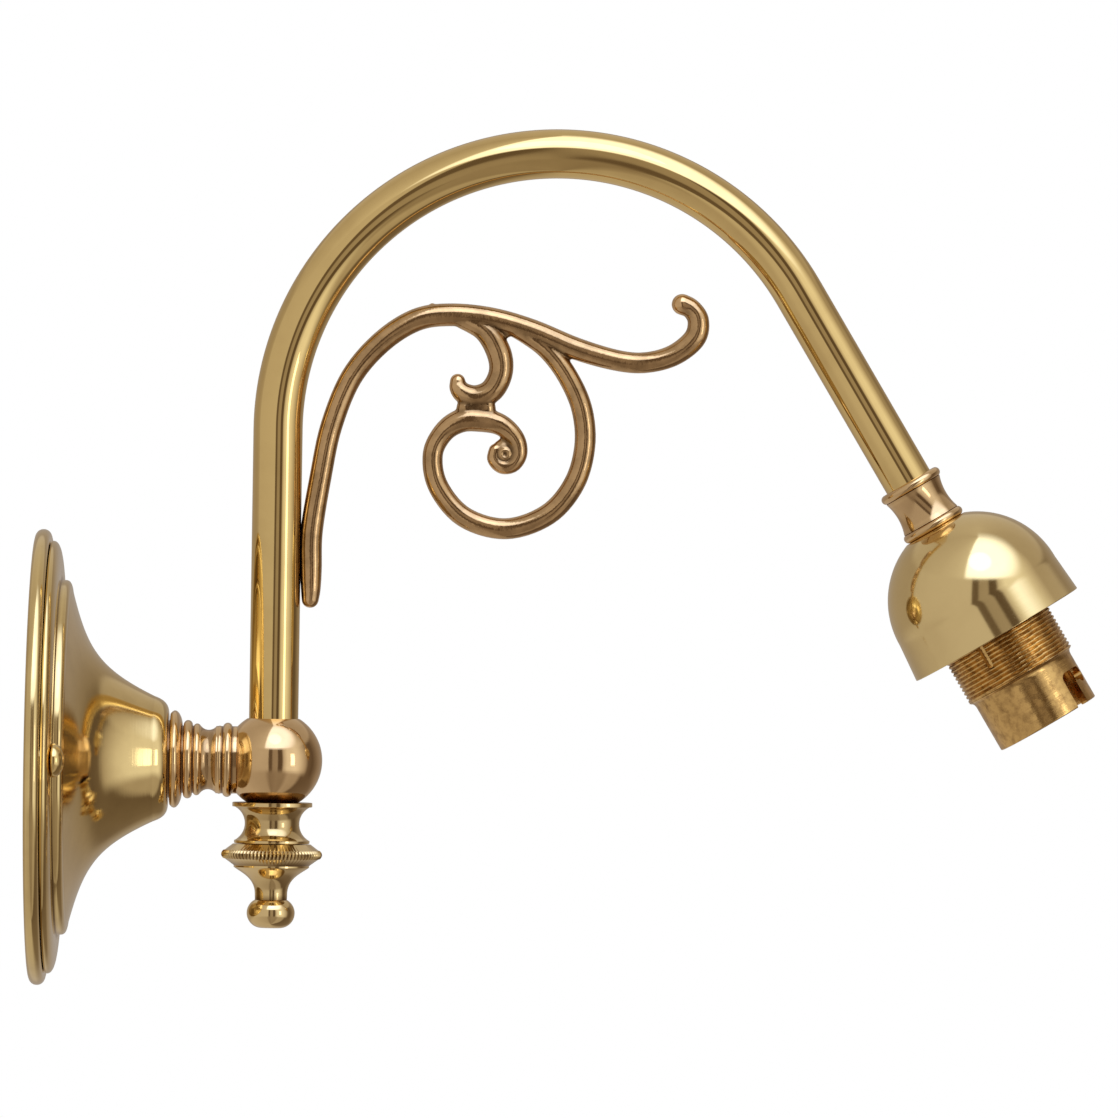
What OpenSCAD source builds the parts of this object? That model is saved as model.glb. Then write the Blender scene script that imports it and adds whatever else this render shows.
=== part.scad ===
// Wall bracket for a lamp: a spun rose, a ribbed neck and ball, a swan-neck tube with a cast scroll,
// and a bayonet lampholder under a spun cup.
// Millimetres. The origin is the middle of the rose's back face, +X leaves the wall, +Z is up.

/* [Wall rose] */
// Depth of the back plate's rim, from the wall to its front edge
plate_rim_h = 4.1; // [3.5:0.1:5]
// Width of the back plate's rim
plate_rim_w = 6.5; // [5.5:0.1:8]
// Thickness of the back plate's web
plate_web_t = 1.8; // [1.2:0.1:2.4]
// Rounding of the back plate's outer edge
plate_round = 1.6; // [0.8:0.1:1.7]
// Width by which the back plate stands out round the cover
plate_edge = 2.8; // [2.4:0.1:4]
// Width of the cover's flange, outside the step
flange_w = 9.5; // [9.4:0.1:12]
// Height of the flange's front face above the plate's rim
flange_h = 2.75; // [2.5:0.05:4]
// Rounding of the flange's front edge
flange_round = 1.9; // [0.8:0.1:2.2]
// Diameter of the raised step on the cover
step_d = 86.4; // [84:0.2:96]
// Height of the step above the flange
step_h = 2.5; // [1.6:0.05:3]
// Length of the cover's trumpet from the step to its nose
trumpet_l = 23.65; // [20:0.05:30]
// Diameter of the cover where the trumpet meets its nose
nose_d = 30.8; // [28:0.2:36]
// Wall of the spun cover
cover_wall = 1.2; // [0.8:0.1:1.5]
// Shank diameter of the cover screws
cover_screw_d = 3.5; // [3:0.1:4]
// Head diameter of the cover screws
cover_head_d = 8; // [7:0.1:8.4]
// Height of a cover screw's round head
cover_head_h = 3.2; // [2.4:0.1:3.4]
// Spacing of the two holes for the wall screws
wall_hole_spacing = 66; // [60:1:72]
// Diameter of the holes for the wall screws
wall_hole_d = 4.8; // [4:0.1:5.5]
// Distance of the cable hole below the centre
cable_hole_drop = 16; // [14:0.5:18]
// Diameter of the cable hole in the back plate
cable_hole_d = 12; // [10:0.2:13]
// Bore of the bush in the cable hole
bush_bore_d = 8; // [6:0.2:8.6]

/* [Terminals in the rose] */
// Poles of the terminal block
pole_count = 3; // [2:1:3]
// Distance between two poles
pole_pitch = 9.4; // [8.6:0.2:10]
// Length of the terminal block along its wires
block_l = 16; // [14:0.5:17]
// Height of the terminal block over the plate
block_h = 12; // [10:0.5:12]
// Height of the block's middle above the centre of the plate
block_rise = 13; // [12:0.5:14]
// Outside diameter of a brass terminal tube
pole_d = 5; // [4.6:0.1:5.4]
// Bore of a brass terminal tube
pole_bore_d = 3.2; // [2.6:0.1:3.4]
// Diameter of a terminal screw
pole_screw_d = 3; // [2.6:0.1:3.2]
// Diameter of the screws that hold the block
block_screw_d = 2.6; // [2:0.1:2.8]
// Diameter of the earth screw
earth_screw_d = 4; // [3.5:0.1:4.5]
// Sideways place of the earth screw on the plate
earth_y = 20; // [18:0.5:24]

/* [Neck and ball] */
// Diameter of the hollow threaded nipples
nipple_d = 10; // [9:0.1:10]
// Bore of the nipples
nipple_bore_d = 7; // [6:0.1:7.4]
// Diameter of the neck's plain core
neck_d = 16.4; // [16:0.1:17]
// Diameter of the neck's large first ring
ring_big_d = 23.9; // [22:0.1:25]
// Diameter of the neck's second ring
ring_second_d = 19.1; // [18.4:0.1:20]
// Diameter of the neck's third ring
ring_third_d = 17.5; // [17.2:0.1:18]
// Diameter of the scotia in the middle of the neck
neck_waist_d = 14.5; // [13.5:0.1:15]
// Diameter of the neck's last ring
ring_last_d = 18.1; // [17.4:0.1:19]
// Diameter of the ball
ball_d = 24; // [23:0.2:26]
// Distance of the ball's top and bottom flats from its centre
ball_flat = 10.2; // [9.8:0.1:10.4]
// Distance of the ball's centre from the wall
arm_x = 58.5; // [58:0.1:62]

/* [Finial] */
// Diameter of the spool's top flange
spool_flange_d = 19.5; // [18:0.1:20.5]
// Diameter of the spool's waist
spool_waist_d = 13.3; // [12.6:0.1:14]
// Length of the spool
spool_l = 10; // [9:0.1:11]
// Diameter of the knurled disc
knurl_d = 24.6; // [23:0.1:27]
// Height of the knurled band
knurl_h = 2; // [1.4:0.1:2.4]
// Teeth of the knurl
knurl_teeth = 78; // [60:1:90]
// Diameter of the finial's lower neck
finial_neck_d = 7.9; // [7:0.1:8.6]
// Diameter of the finial's button end
button_d = 11.7; // [11:0.1:12.6]
// Length of the finial below its spool
finial_l = 20.6; // [20:0.1:23]

/* [Swan neck] */
// Outside diameter of the tube
tube_d = 12; // [11.8:0.1:12.2]
// Wall of the tube
tube_wall = 1; // [0.8:0.05:1]
// Radius of the bend along the middle of the tube
bend_r = 68; // [64:0.5:76]
// Height of the bend's centre above the ball's centre
bend_z = 80.8; // [76:0.2:90]
// Tilt of the lamp axis from straight down
lamp_tilt = 31; // [26:0.5:34]
// Length of the straight leg after the bend
leg_l = 53.2; // [48:0.2:60]

/* [Scroll] */
// Reach of the scroll from the tube to the far side of its tip, along the stem's middle
scroll_reach = 93.6; // [90:0.2:100]
// Thickness of the scroll's stem
stem_d = 5.3; // [4.8:0.1:5.8]
// Sideways depth of the casting as a share of its thickness
scroll_depth = 1; // [0.85:0.05:1.15]
// Depth of the saddle that seats the scroll on the tube
saddle = 0.3; // [0.2:0.05:0.5]

/* [Collar and cup] */
// Length of the collar
collar_l = 13.2; // [12:0.1:15]
// Diameter of the collar's two end beads
collar_bead_d = 16.1; // [15.6:0.1:17]
// Diameter of the collar's waist
collar_waist_d = 13.4; // [13:0.1:14]
// Diameter of the cup at its rim
cup_rim_d = 45.2; // [44:0.1:48]
// Diameter of the cup's dome
cup_dome_d = 43.6; // [43:0.1:43.6]
// Length of the cup from its seat to its rim
cup_l = 29.8; // [28:0.1:33]
// Wall of the cup
cup_wall = 0.9; // [0.6:0.1:1.2]

/* [Lampholder] */
// Height of the shade-ring thread over the plain barrel
thread_h = 1.05; // [0.9:0.05:1.3]
// Length of the shade-ring thread that shows below the cup
thread_show_l = 11.6; // [10:0.1:13]
// Wall of the plain barrel round the lamp-cap bore
barrel_wall = 1.95; // [1.7:0.05:2.3]
// Length of the plain barrel that shows below the thread
barrel_show_l = 13.4; // [12.8:0.1:15]
// Bore that takes the lamp cap
socket_bore_d = 22.5; // [22.2:0.1:22.8]
// Depth of the lamp-cap bore from the mouth
socket_depth = 9.8; // [9.6:0.1:10.2]
// Width of a bayonet slot
slot_w = 4; // [3.4:0.1:4.2]
// Depth of a bayonet slot from the mouth
slot_depth = 9; // [8.4:0.1:9.2]
// Turn from a bayonet slot to the end of its hook
slot_turn = 26; // [22:1:26]
// Height of the locking lug at the side of a bayonet slot
lug_h = 5.8; // [5.4:0.1:6]
// Width of the key slot in the thread
key_w = 1.5; // [1:0.1:2]
// Distance of each plunger's middle from the wall of the lamp-cap bore
plunger_inset = 5.75; // [5.4:0.05:6.2]
// Diameter of a plunger's tip
plunger_tip_d = 3.8; // [3.4:0.1:4]
// Diameter of a plunger's guide
plunger_guide_d = 4.8; // [4.5:0.1:5]
// Travel of a plunger
plunger_travel = 3.5; // [2.5:0.1:4]
// Wire of a plunger spring
spring_wire_d = 0.5; // [0.4:0.05:0.6]
// Turns of a plunger spring
spring_turns = 6; // [5:1:7]

/* [Fits] */
// Gap between the step and the heads of the cover screws
head_gap = 0.1; // [0.05:0.05:0.4]
// Radial play of a threaded nipple in the pieces that it joins
nipple_gap = 0.05; // [0.02:0.01:0.1]
// Radial play of a plunger in its tube
plunger_gap = 0.05; // [0.02:0.01:0.08]
// Radial play between the pieces of the lampholder
holder_gap = 0.05; // [0.02:0.01:0.1]
// Gap between a spring and what it pushes on
spring_gap = 0.1; // [0.05:0.05:0.2]

/* [Hidden] */
$fn = 96;

// Length by which a cut runs past the faces that it opens
past = 1;

YELLOW_BRASS = [0.80, 0.64, 0.30];
ROSE_BRASS = [0.78, 0.58, 0.36];
CAST_BRASS = [0.56, 0.41, 0.22];
DULL_BRASS = [0.62, 0.45, 0.20];
STEEL = [0.70, 0.71, 0.72];
NYLON = [0.90, 0.89, 0.84];
MOULDING = [0.93, 0.92, 0.89];
RUBBER = [0.12, 0.12, 0.12];

// Points of a cubic curve from a to d, pulled towards b and c
function curve(a, b, c, d, n) = [for (i = [0 : n]) let (t = i / n)
    pow(1 - t, 3) * a + 3 * pow(1 - t, 2) * t * b + 3 * (1 - t) * t * t * c + pow(t, 3) * d];

// Point at share t between b and c on a smooth line through a, b, c and d
function smooth_point(a, b, c, d, t) = 0.5 * (2 * b + (c - a) * t
    + (2 * a - 5 * b + 4 * c - d) * t * t + (3 * b - a - 3 * c + d) * t * t * t);

// Smooth line through the points p, with n steps from each to the next
function smooth_line(p, n) = concat(
    [for (i = [0 : len(p) - 2]) for (j = [0 : n - 1])
        smooth_point(p[max(i - 1, 0)], p[i], p[i + 1], p[min(i + 2, len(p) - 1)], j / n)],
    [p[len(p) - 1]]);

// A square-cornered ring section from radius r0 to r1 and from height z0 to z1
module band(r0, r1, z0, z1) { translate([r0, z0]) square([r1 - r0, z1 - z0]); }

// A round bead of the given radius that reaches the diameter d at height z
module bead(d, radius, z) { translate([d / 2 - radius, z]) circle(radius); }

// Turned about +X, with the profile's heights measured from the wall
module from_wall() { rotate([0, 90, 0]) rotate_extrude() children(); }

// Rose, along X from the wall
nose_round = 3;
cover_d = step_d + 2 * flange_w;
plate_d = cover_d + 2 * plate_edge;
cover_screw_r = step_d / 2 + head_gap + cover_head_d / 2;
flange_x = plate_rim_h + flange_h;
step_x = flange_x + step_h;
nose_x = step_x + trumpet_l;
shoulder_x = nose_x - nose_round;
nose_end_r = nose_d / 2 - nose_round;
step_round = 1;
nose_inset = 1.25;
tray_r = plate_d / 2 - plate_rim_w;
boss_r = 4;
nipple_hole_r = nipple_d / 2;
nipple_r = nipple_d / 2 - nipple_gap;

module back_plate() {
    color(YELLOW_BRASS) difference() {
        union() {
            from_wall() {
                band(0, tray_r, 0, plate_web_t);
                band(tray_r - plate_web_t / 2, plate_d / 2 - plate_round, 0, plate_rim_h);
                band(tray_r, plate_d / 2, plate_round, plate_rim_h - plate_round);
                bead(plate_d, plate_round, plate_round);
                bead(plate_d, plate_round, plate_rim_h - plate_round);
            }
            for (side = [-1, 1])
                translate([0, side * cover_screw_r, 0]) rotate([0, 90, 0])
                    cylinder(r = boss_r, h = flange_x - cover_wall);
            translate([0, earth_y, 0]) rotate([0, 90, 0]) cylinder(r = earth_boss_r, h = earth_boss_h);
        }
        for (side = [-1, 1]) {
            translate([-past, 0, side * wall_hole_spacing / 2]) rotate([0, 90, 0])
                cylinder(d = wall_hole_d, h = plate_web_t + 2 * past);
            translate([plate_web_t, side * cover_screw_r, 0]) rotate([0, 90, 0])
                cylinder(d = cover_screw_d, h = flange_x);
        }
        translate([-past, 0, -cable_hole_drop]) rotate([0, 90, 0])
            cylinder(d = cable_hole_d, h = plate_web_t + 2 * past);
        translate([plate_web_t, earth_y, 0]) rotate([0, 90, 0])
            cylinder(d = earth_screw_d, h = earth_boss_h);
        for (y = block_screw_places)
            translate([-past, y, block_rise]) rotate([0, 90, 0])
                cylinder(d = block_screw_d, h = plate_web_t + 2 * past);
    }
}

bush_flange_w = 2;
bush_flange_t = 1.2;
bush_inset = 0.2;

module cable_bush() {
    color(RUBBER) translate([0, 0, -cable_hole_drop]) difference() {
        from_wall() {
            band(0, cable_hole_d / 2, bush_inset, plate_web_t + bush_flange_t);
            band(0, cable_hole_d / 2 + bush_flange_w, plate_web_t, plate_web_t + bush_flange_t);
        }
        rotate([0, 90, 0]) translate([0, 0, -past])
            cylinder(d = bush_bore_d, h = plate_web_t + bush_flange_t + 2 * past);
    }
}

// Terminal block: one brass tube for each pole, two screws to a tube
block_w = pole_count * pole_pitch;
pole_x = plate_web_t + 0.42 * block_h;
pole_places = [for (i = [0 : pole_count - 1]) (i - (pole_count - 1) / 2) * pole_pitch];
block_screw_places = [for (i = [0 : pole_count - 2]) (i - (pole_count - 2) / 2) * pole_pitch];
pole_screw_rise = 0.27 * block_l;
pole_head_h = 1.8;
block_groove_w = 1.6;
block_head_h = 1.4;
block_head_d = 1.8 * block_screw_d;
block_floor_h = 0.5 * block_h;

module terminal_block() {
    color(NYLON) difference() {
        translate([plate_web_t, -block_w / 2, block_rise - block_l / 2]) cube([block_h, block_w, block_l]);
        for (y = pole_places) {
            translate([pole_x, y, block_rise - block_l / 2 - past])
                cylinder(d = pole_d, h = block_l + 2 * past);
            for (side = [-1, 1])
                translate([pole_x, y, block_rise + side * pole_screw_rise]) rotate([0, 90, 0])
                    cylinder(d = pole_screw_d + 1, h = block_h);
        }
        for (y = block_screw_places) {
            translate([0, y, block_rise]) rotate([0, 90, 0]) cylinder(d = block_screw_d, h = block_h);
            translate([plate_web_t + block_floor_h, y, block_rise]) rotate([0, 90, 0])
                cylinder(d = block_head_d, h = block_h);
            for (end = [-1, 1])
                translate([plate_web_t + block_floor_h, y - block_groove_w / 2,
                    block_rise + end * block_l / 2 - block_groove_w])
                    cube([block_h, block_groove_w, 2 * block_groove_w]);
        }
    }
}

module terminal_tubes() {
    color(YELLOW_BRASS) for (y = pole_places) difference() {
        translate([pole_x, y, block_rise - block_l / 2 + 1]) cylinder(d = pole_d, h = block_l - 2);
        translate([pole_x, y, block_rise - block_l / 2]) cylinder(d = pole_bore_d, h = block_l);
        for (side = [-1, 1])
            translate([pole_x, y, block_rise + side * pole_screw_rise]) rotate([0, 90, 0])
                cylinder(d = pole_screw_d, h = pole_d);
    }
}

// A screw along +X from its tip at x0 to the seat of its head at x1, with a slot across the head
module slotted_screw(d, x0, x1, head_d, head_h) {
    difference() {
        from_wall() {
            band(0, d / 2, x0, x1);
            band(0, head_d / 2, x1, x1 + head_h);
        }
        translate([x1 + 0.45 * head_h, -head_d, -0.09 * head_d]) cube([head_h, 2 * head_d, 0.18 * head_d]);
    }
}

module terminal_screws() {
    color(STEEL) for (y = pole_places, side = [-1, 1])
        translate([0, y, block_rise + side * pole_screw_rise])
            slotted_screw(pole_screw_d, pole_x + 0.1, pole_x + 0.55 * block_h - pole_head_h,
                pole_screw_d + 0.6, pole_head_h);
}

module block_screws() {
    color(STEEL) for (y = block_screw_places)
        translate([0, y, block_rise])
            slotted_screw(block_screw_d, 0.2, plate_web_t + block_floor_h, block_head_d, block_head_h);
}

earth_boss_r = 4.4;
earth_boss_h = 5;
earth_washer_t = 0.9;
earth_head_d = 1.9 * earth_screw_d;
earth_head_h = 2.4;

module earth_screw() {
    color(YELLOW_BRASS) translate([0, earth_y, 0])
        slotted_screw(earth_screw_d, plate_web_t, earth_boss_h + earth_washer_t, earth_head_d, earth_head_h);
}

module earth_washer() {
    color(STEEL) translate([0, earth_y, 0]) from_wall()
        band(earth_screw_d / 2, earth_head_d / 2 + 0.6, earth_boss_h, earth_boss_h + earth_washer_t);
}

// Trumpet of the cover: a curve from the step to the nose, drawn again further in for the inside
trumpet_points = 16;
trumpet_top = [nose_d / 2, shoulder_x];
trumpet_foot = [step_d / 2 - 2 * step_round, step_x];
trumpet_in = [nose_d / 2 - nose_inset, shoulder_x - 0.6];
trumpet_in_foot = [step_d / 2 - 2 * step_round - 0.4, step_x - 1.35];

function trumpet(foot, top) = curve(foot, foot + [-0.56, 0.147] * (foot[0] - top[0]),
    top + [0.257, -0.537] * (foot[0] - top[0]), top, trumpet_points);

module rose_cover() {
    under = flange_x - cover_wall;
    color(YELLOW_BRASS) difference() {
        from_wall() {
            // The outside less the hollow
            difference() {
                union() {
                    polygon(concat([[0, under], [step_d / 2 - step_round, under],
                        [step_d / 2 - step_round, step_x]],
                        trumpet(trumpet_foot, trumpet_top),
                        curve(trumpet_top, [nose_d / 2 - 0.75, shoulder_x + 1.6],
                            [nose_end_r + 1.8, nose_x], [nose_end_r, nose_x], 6),
                        [[0, nose_x]]));
                    band(0, step_d / 2, under, step_x - step_round);
                    bead(step_d, step_round, step_x - step_round);
                    band(0, cover_d / 2 - flange_round, plate_rim_h, flange_x);
                    band(0, cover_d / 2, plate_rim_h, flange_x - flange_round);
                    intersection() {
                        bead(cover_d, flange_round, flange_x - flange_round);
                        band(0, cover_d, plate_rim_h, flange_x);
                    }
                }
                polygon(concat([[0, trumpet_in_foot[1]]],
                    trumpet(trumpet_in_foot, trumpet_in),
                    curve(trumpet_in, [nose_d / 2 - 1.9, shoulder_x + 1],
                        [nose_end_r + 0.8, nose_x - cover_wall], [nose_end_r - 0.6, nose_x - cover_wall], 6),
                    [[0, nose_x - cover_wall]]));
                band(0, step_d / 2 - cover_wall, plate_rim_h - past, trumpet_in_foot[1]);
                band(0, cover_d / 2 - cover_wall, plate_rim_h - past, under);
            }
        }
        rotate([0, 90, 0]) cylinder(r = nipple_hole_r, h = nose_x + past);
        for (side = [-1, 1])
            translate([0, side * cover_screw_r, 0]) rotate([0, 90, 0])
                cylinder(d = cover_screw_d, h = flange_x + past);
    }
}

module cover_screws() {
    // Each head is a cap of a ball that meets the flange at the head's diameter
    dome_r = (pow(cover_head_d / 2, 2) + pow(cover_head_h, 2)) / (2 * cover_head_h);
    color(YELLOW_BRASS) for (side = [-1, 1]) translate([0, side * cover_screw_r, 0]) difference() {
        union() {
            translate([plate_web_t, 0, 0]) rotate([0, 90, 0])
                cylinder(d = cover_screw_d, h = flange_h + plate_rim_h);
            from_wall() intersection() {
                translate([0, flange_x + cover_head_h - dome_r]) circle(dome_r);
                band(0, cover_head_d, flange_x, flange_x + cover_head_h);
            }
        }
        translate([flange_x + 0.55 * cover_head_h, -0.07 * cover_head_d, -cover_head_d])
            cube([cover_head_h, 0.14 * cover_head_d, 2 * cover_head_d]);
    }
}

// Neck, along X from the cover's nose
ring_big_w = 3.5;
ring_big_round = 2.9;
ring_second_w = 2.2;
ring_third_w = 1.8;
scotia_w = 3.8;
fillet_w = 1.6;
ring_last_w = 2.3;
second_z = ring_big_w + ring_second_w / 2 + 0.15;
third_z = second_z + ring_second_w / 2 + ring_third_w / 2 + 0.2;
scotia_z = third_z + ring_third_w / 2 + scotia_w / 2;
fillet_z = scotia_z + scotia_w / 2 + fillet_w / 2;
last_z = fillet_z + fillet_w / 2 + ring_last_w / 2;
scotia_sag = (neck_d - neck_waist_d) / 2;
scotia_r = (pow(scotia_w / 2, 2) + pow(scotia_sag, 2)) / (2 * scotia_sag);

module neck() {
    color(ROSE_BRASS) difference() {
        translate([nose_x, 0, 0]) from_wall() difference() {
            union() {
                band(0, neck_d / 2, 0, arm_x - nose_x);
                intersection() {
                    translate([ring_big_d / 2 - ring_big_round, 0.6]) circle(ring_big_round);
                    band(0, ring_big_d, 0, ring_big_w);
                }
                bead(ring_second_d, ring_second_w / 2, second_z);
                bead(ring_third_d, ring_third_w / 2, third_z);
                bead(neck_d + 0.4, fillet_w / 2, fillet_z);
                bead(ring_last_d, ring_last_w / 2, last_z);
            }
            translate([neck_waist_d / 2 + scotia_r, scotia_z]) circle(scotia_r);
        }
        translate([nose_x - past, 0, 0]) rotate([0, 90, 0]) cylinder(r = nipple_hole_r, h = arm_x);
        translate([arm_x, 0, 0]) sphere(d = ball_d);
    }
}

// A hollow threaded nipple along the local Z
module nipple(l) {
    difference() {
        cylinder(r = nipple_r, h = l);
        translate([0, 0, -past]) cylinder(d = nipple_bore_d, h = l + 2 * past);
    }
}

washer_t = 1.2;
washer_d = 1.8 * nipple_d;
nut_h = 4;
nut_across = 1.4 * nipple_d;
washer_x = nose_x - cover_wall - washer_t;
nipple_show = 1.8;
neck_nipple_end = arm_x - nipple_hole_r - 0.5;

module neck_nipple() {
    start = washer_x - nut_h - nipple_show;
    color(YELLOW_BRASS) translate([start, 0, 0]) rotate([0, 90, 0]) nipple(neck_nipple_end - start);
}

module neck_washer() {
    color(STEEL) from_wall() band(nipple_hole_r, washer_d / 2, washer_x, washer_x + washer_t);
}

module neck_nut() {
    color(STEEL) translate([washer_x - nut_h, 0, 0]) rotate([0, 90, 0]) difference() {
        cylinder(d = nut_across / cos(30), h = nut_h, $fn = 6);
        translate([0, 0, -past]) cylinder(r = nipple_hole_r, h = nut_h + 2 * past);
    }
}

module ball_elbow() {
    color(ROSE_BRASS) translate([arm_x, 0, 0]) difference() {
        intersection() {
            sphere(d = ball_d);
            translate([0, 0, -ball_flat]) cylinder(d = 2 * ball_d, h = 2 * ball_flat);
        }
        translate([0, 0, -ball_d]) cylinder(r = nipple_hole_r, h = 2 * ball_d);
        rotate([0, -90, 0]) cylinder(r = nipple_hole_r, h = ball_d);
    }
}

arm_nipple_start = 4;
arm_nipple_l = 18;

module arm_nipple() {
    color(YELLOW_BRASS) translate([arm_x, 0, arm_nipple_start]) nipple(arm_nipple_l);
}

// Finial, turned about an axis that points down from the ball's lower flat
module below_ball() { translate([arm_x, 0, -ball_flat]) rotate([180, 0, 0]) children(); }

spool_flange_t = 1.1;
spool_lip_d = 18.4;
spool_lip_t = 0.7;
spool_scotia_w = spool_l - spool_flange_t - spool_lip_t;
spool_sag = (spool_lip_d - spool_waist_d) / 2;
spool_scotia_r = (pow(spool_scotia_w / 2, 2) + pow(spool_sag, 2)) / (2 * spool_sag);
spool_scotia_z = spool_flange_t + spool_scotia_w / 2;

module finial_spool() {
    color(YELLOW_BRASS) below_ball() rotate_extrude() difference() {
        union() {
            band(nipple_hole_r, spool_flange_d / 2, 0, spool_flange_t);
            band(nipple_hole_r, spool_lip_d / 2, spool_flange_t, spool_l);
        }
        translate([spool_waist_d / 2 + spool_scotia_r, spool_scotia_z]) circle(spool_scotia_r);
    }
}

knurl_z = spool_l + 1.7;
knurl_tooth = 0.45;
knurl_root_r = knurl_d / 2 - knurl_tooth;
knurl_core_r = knurl_root_r - 0.1;
ledge_r = spool_lip_d / 2;
ledge_z = knurl_z + knurl_h + 1.6;
ogee_z = ledge_z + 0.5;
button_r = 3.65;
button_z = spool_l + finial_l - button_r;
button_core = button_d / 2 - button_r;
spigot_top = 5.7;

module finial() {
    color(YELLOW_BRASS) below_ball() {
        rotate_extrude() {
            band(0, nipple_r, -spigot_top, spool_l + past);
            polygon(concat([[0, spool_l], [ledge_r + 0.3, spool_l + 0.15], [knurl_core_r, knurl_z],
                [knurl_core_r, knurl_z + knurl_h], [ledge_r, ledge_z]],
                curve([ledge_r, ogee_z], [0.8 * ledge_r, ogee_z + 1.4],
                    [finial_neck_d / 2, ogee_z + 2.6], [finial_neck_d / 2, ogee_z + 6.6], 12),
                [[finial_neck_d / 2, button_z], [0, button_z]]));
            translate([button_core, button_z]) intersection() {
                circle(button_r);
                translate([-button_core, -button_r]) square([button_d, 2 * button_r]);
            }
            band(0, button_core, button_z, button_z + button_r);
        }
        // Straight teeth round the disc's edge
        translate([0, 0, knurl_z]) linear_extrude(knurl_h)
            polygon([for (i = [0 : 2 * knurl_teeth - 1]) let (a = 180 * i / knurl_teeth)
                (i % 2 == 0 ? knurl_d / 2 : knurl_root_r) * [cos(a), sin(a)]]);
    }
}

// Swan neck: a straight riser, a bend and a straight leg
bend_x = arm_x + bend_r;
leg_dir = [sin(lamp_tilt), 0, -cos(lamp_tilt)];
leg_start = [bend_x + bend_r * cos(lamp_tilt), 0, bend_z + bend_r * sin(lamp_tilt)];

// The local +Z runs down the lamp axis, from a place at distance l past the end of the bend
module on_leg(l) { translate(leg_start + l * leg_dir) rotate([0, 180 - lamp_tilt, 0]) children(); }

// The tube's ring section, drawn at distance r from the axis of its revolve and thinned by skin
module tube_section(r, skin = 0) {
    translate([r, 0]) difference() {
        circle(d = tube_d - 2 * skin);
        circle(d = tube_d - 2 * tube_wall + 2 * skin);
    }
}

// The leg enters the bend's wall by this length and is this much thinner on each side, so the two fuse
leg_entry = 0.3;
leg_skin = 0.02;

module swan_neck() {
    color(YELLOW_BRASS) {
        translate([arm_x, 0, ball_flat]) linear_extrude(bend_z - ball_flat) tube_section(0);
        translate([bend_x, 0, bend_z]) rotate([90, 0, 0])
            rotate_extrude(angle = 180 - lamp_tilt, start = lamp_tilt) tube_section(bend_r);
        on_leg(-leg_entry) linear_extrude(leg_l + leg_entry) tube_section(0, leg_skin);
    }
}

// Scroll casting. Each stem is a smooth line through points [x, z, thickness as a share of stem_d],
// measured from the line where the stem seats on the tube and from the ball's centre. The points are
// drawn for a reach of 93.6 and follow the scroll's own reach.
scroll_size = scroll_reach / 93.6;
scroll_x = arm_x + tube_d / 2 + stem_d / 2 - saddle;
main_stem = [[0.1, 39.4, 0.8], [0.2, 42, 0.92], [0.15, 47, 1.02], [0.2, 56, 1.04], [2.2, 69.4, 1.02],
    [4.6, 81.6, 1.02], [9.3, 93.6, 1.02], [16.5, 102.3, 1.04], [24.8, 107.8, 1.06], [33, 109.2, 1.06],
    [43, 108.4, 1.06], [53, 105.7, 1.06], [64, 101.4, 1.04], [74, 98.7, 0.98], [81, 98.3, 0.97],
    [87.7, 100.2, 1], [92.7, 104.3, 1.04], [93.6, 108.6, 1], [91.9, 111.5, 0.94], [89.6, 112.6, 0.98]];
hook_stem = [[36, 108.3, 0.9], [41.6, 105.6, 1.08], [45, 100.5, 1.16], [45.7, 95.5, 1.12], [43.6, 91, 1.12],
    [40, 89.4, 1.06], [37, 90, 1], [35.5, 91.5, 0.88], [35.2, 93, 0.72]];
loop_stem = [[45, 108, 0.8], [51, 105.2, 0.9], [57, 101, 0.94], [62, 94.6, 0.96], [65.6, 86.6, 0.98],
    [66.4, 77.6, 0.98], [63.9, 68.4, 1], [57.6, 60.9, 1], [47.5, 57.3, 0.98], [37.3, 60, 0.98],
    [30.9, 67.3, 0.96], [29.4, 75, 0.94], [31.9, 80.5, 0.98], [36, 83.4, 1.1], [40.6, 83.8, 1.14],
    [45.8, 82.6, 1], [49.4, 79.4, 0.88], [50.3, 75.6, 0.8], [48.4, 72.8, 0.76]];
eye = [47.3, 75.6, 1.9];
eye_depth = 0.66;
knot = [[37.2, 86.6, 0.84], [42.4, 86.6, 0.84]];
webs = [[[41.5, 106.4, 0.6], [47, 105.4, 0.6]], [[57.8, 101.6, 0.6], [60.6, 101.5, 0.6]]];
stem_steps = 2;
stem_facets = 16;

// One ball of a stem, with its depth along Y as a share of its width
module stem_ball(p, depth = scroll_depth) {
    translate([scroll_x + scroll_size * p[0], 0, scroll_size * p[1]]) scale([1, depth, 1]) rotate([90, 0, 0])
        sphere(d = p[2] * stem_d, $fn = stem_facets);
}

// A chain of hulls from ball to ball along a smooth line
module stem(p, steps) {
    line = smooth_line(p, steps);
    for (i = [0 : len(line) - 2]) hull() {
        stem_ball(line[i]);
        stem_ball(line[i + 1]);
    }
}

module scroll() {
    color(CAST_BRASS) difference() {
        union() {
            for (p = [main_stem, hook_stem, loop_stem]) stem(p, stem_steps);
            for (p = concat([knot], webs)) stem(p, 1);
            stem_ball(eye, eye_depth * scroll_depth);
        }
        translate([arm_x, 0, 0]) cylinder(r = tube_d / 2 + 0.01, h = bend_z);
    }
}

// Collar at the end of the tube
collar_bead_w = 2.3;
collar_core_d = collar_waist_d + 1.5;
collar_hollow_w = collar_l - 2 * collar_bead_w;
collar_sag = (collar_core_d - collar_waist_d) / 2;
collar_hollow_r = (pow(collar_hollow_w / 2, 2) + pow(collar_sag, 2)) / (2 * collar_sag);

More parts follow.
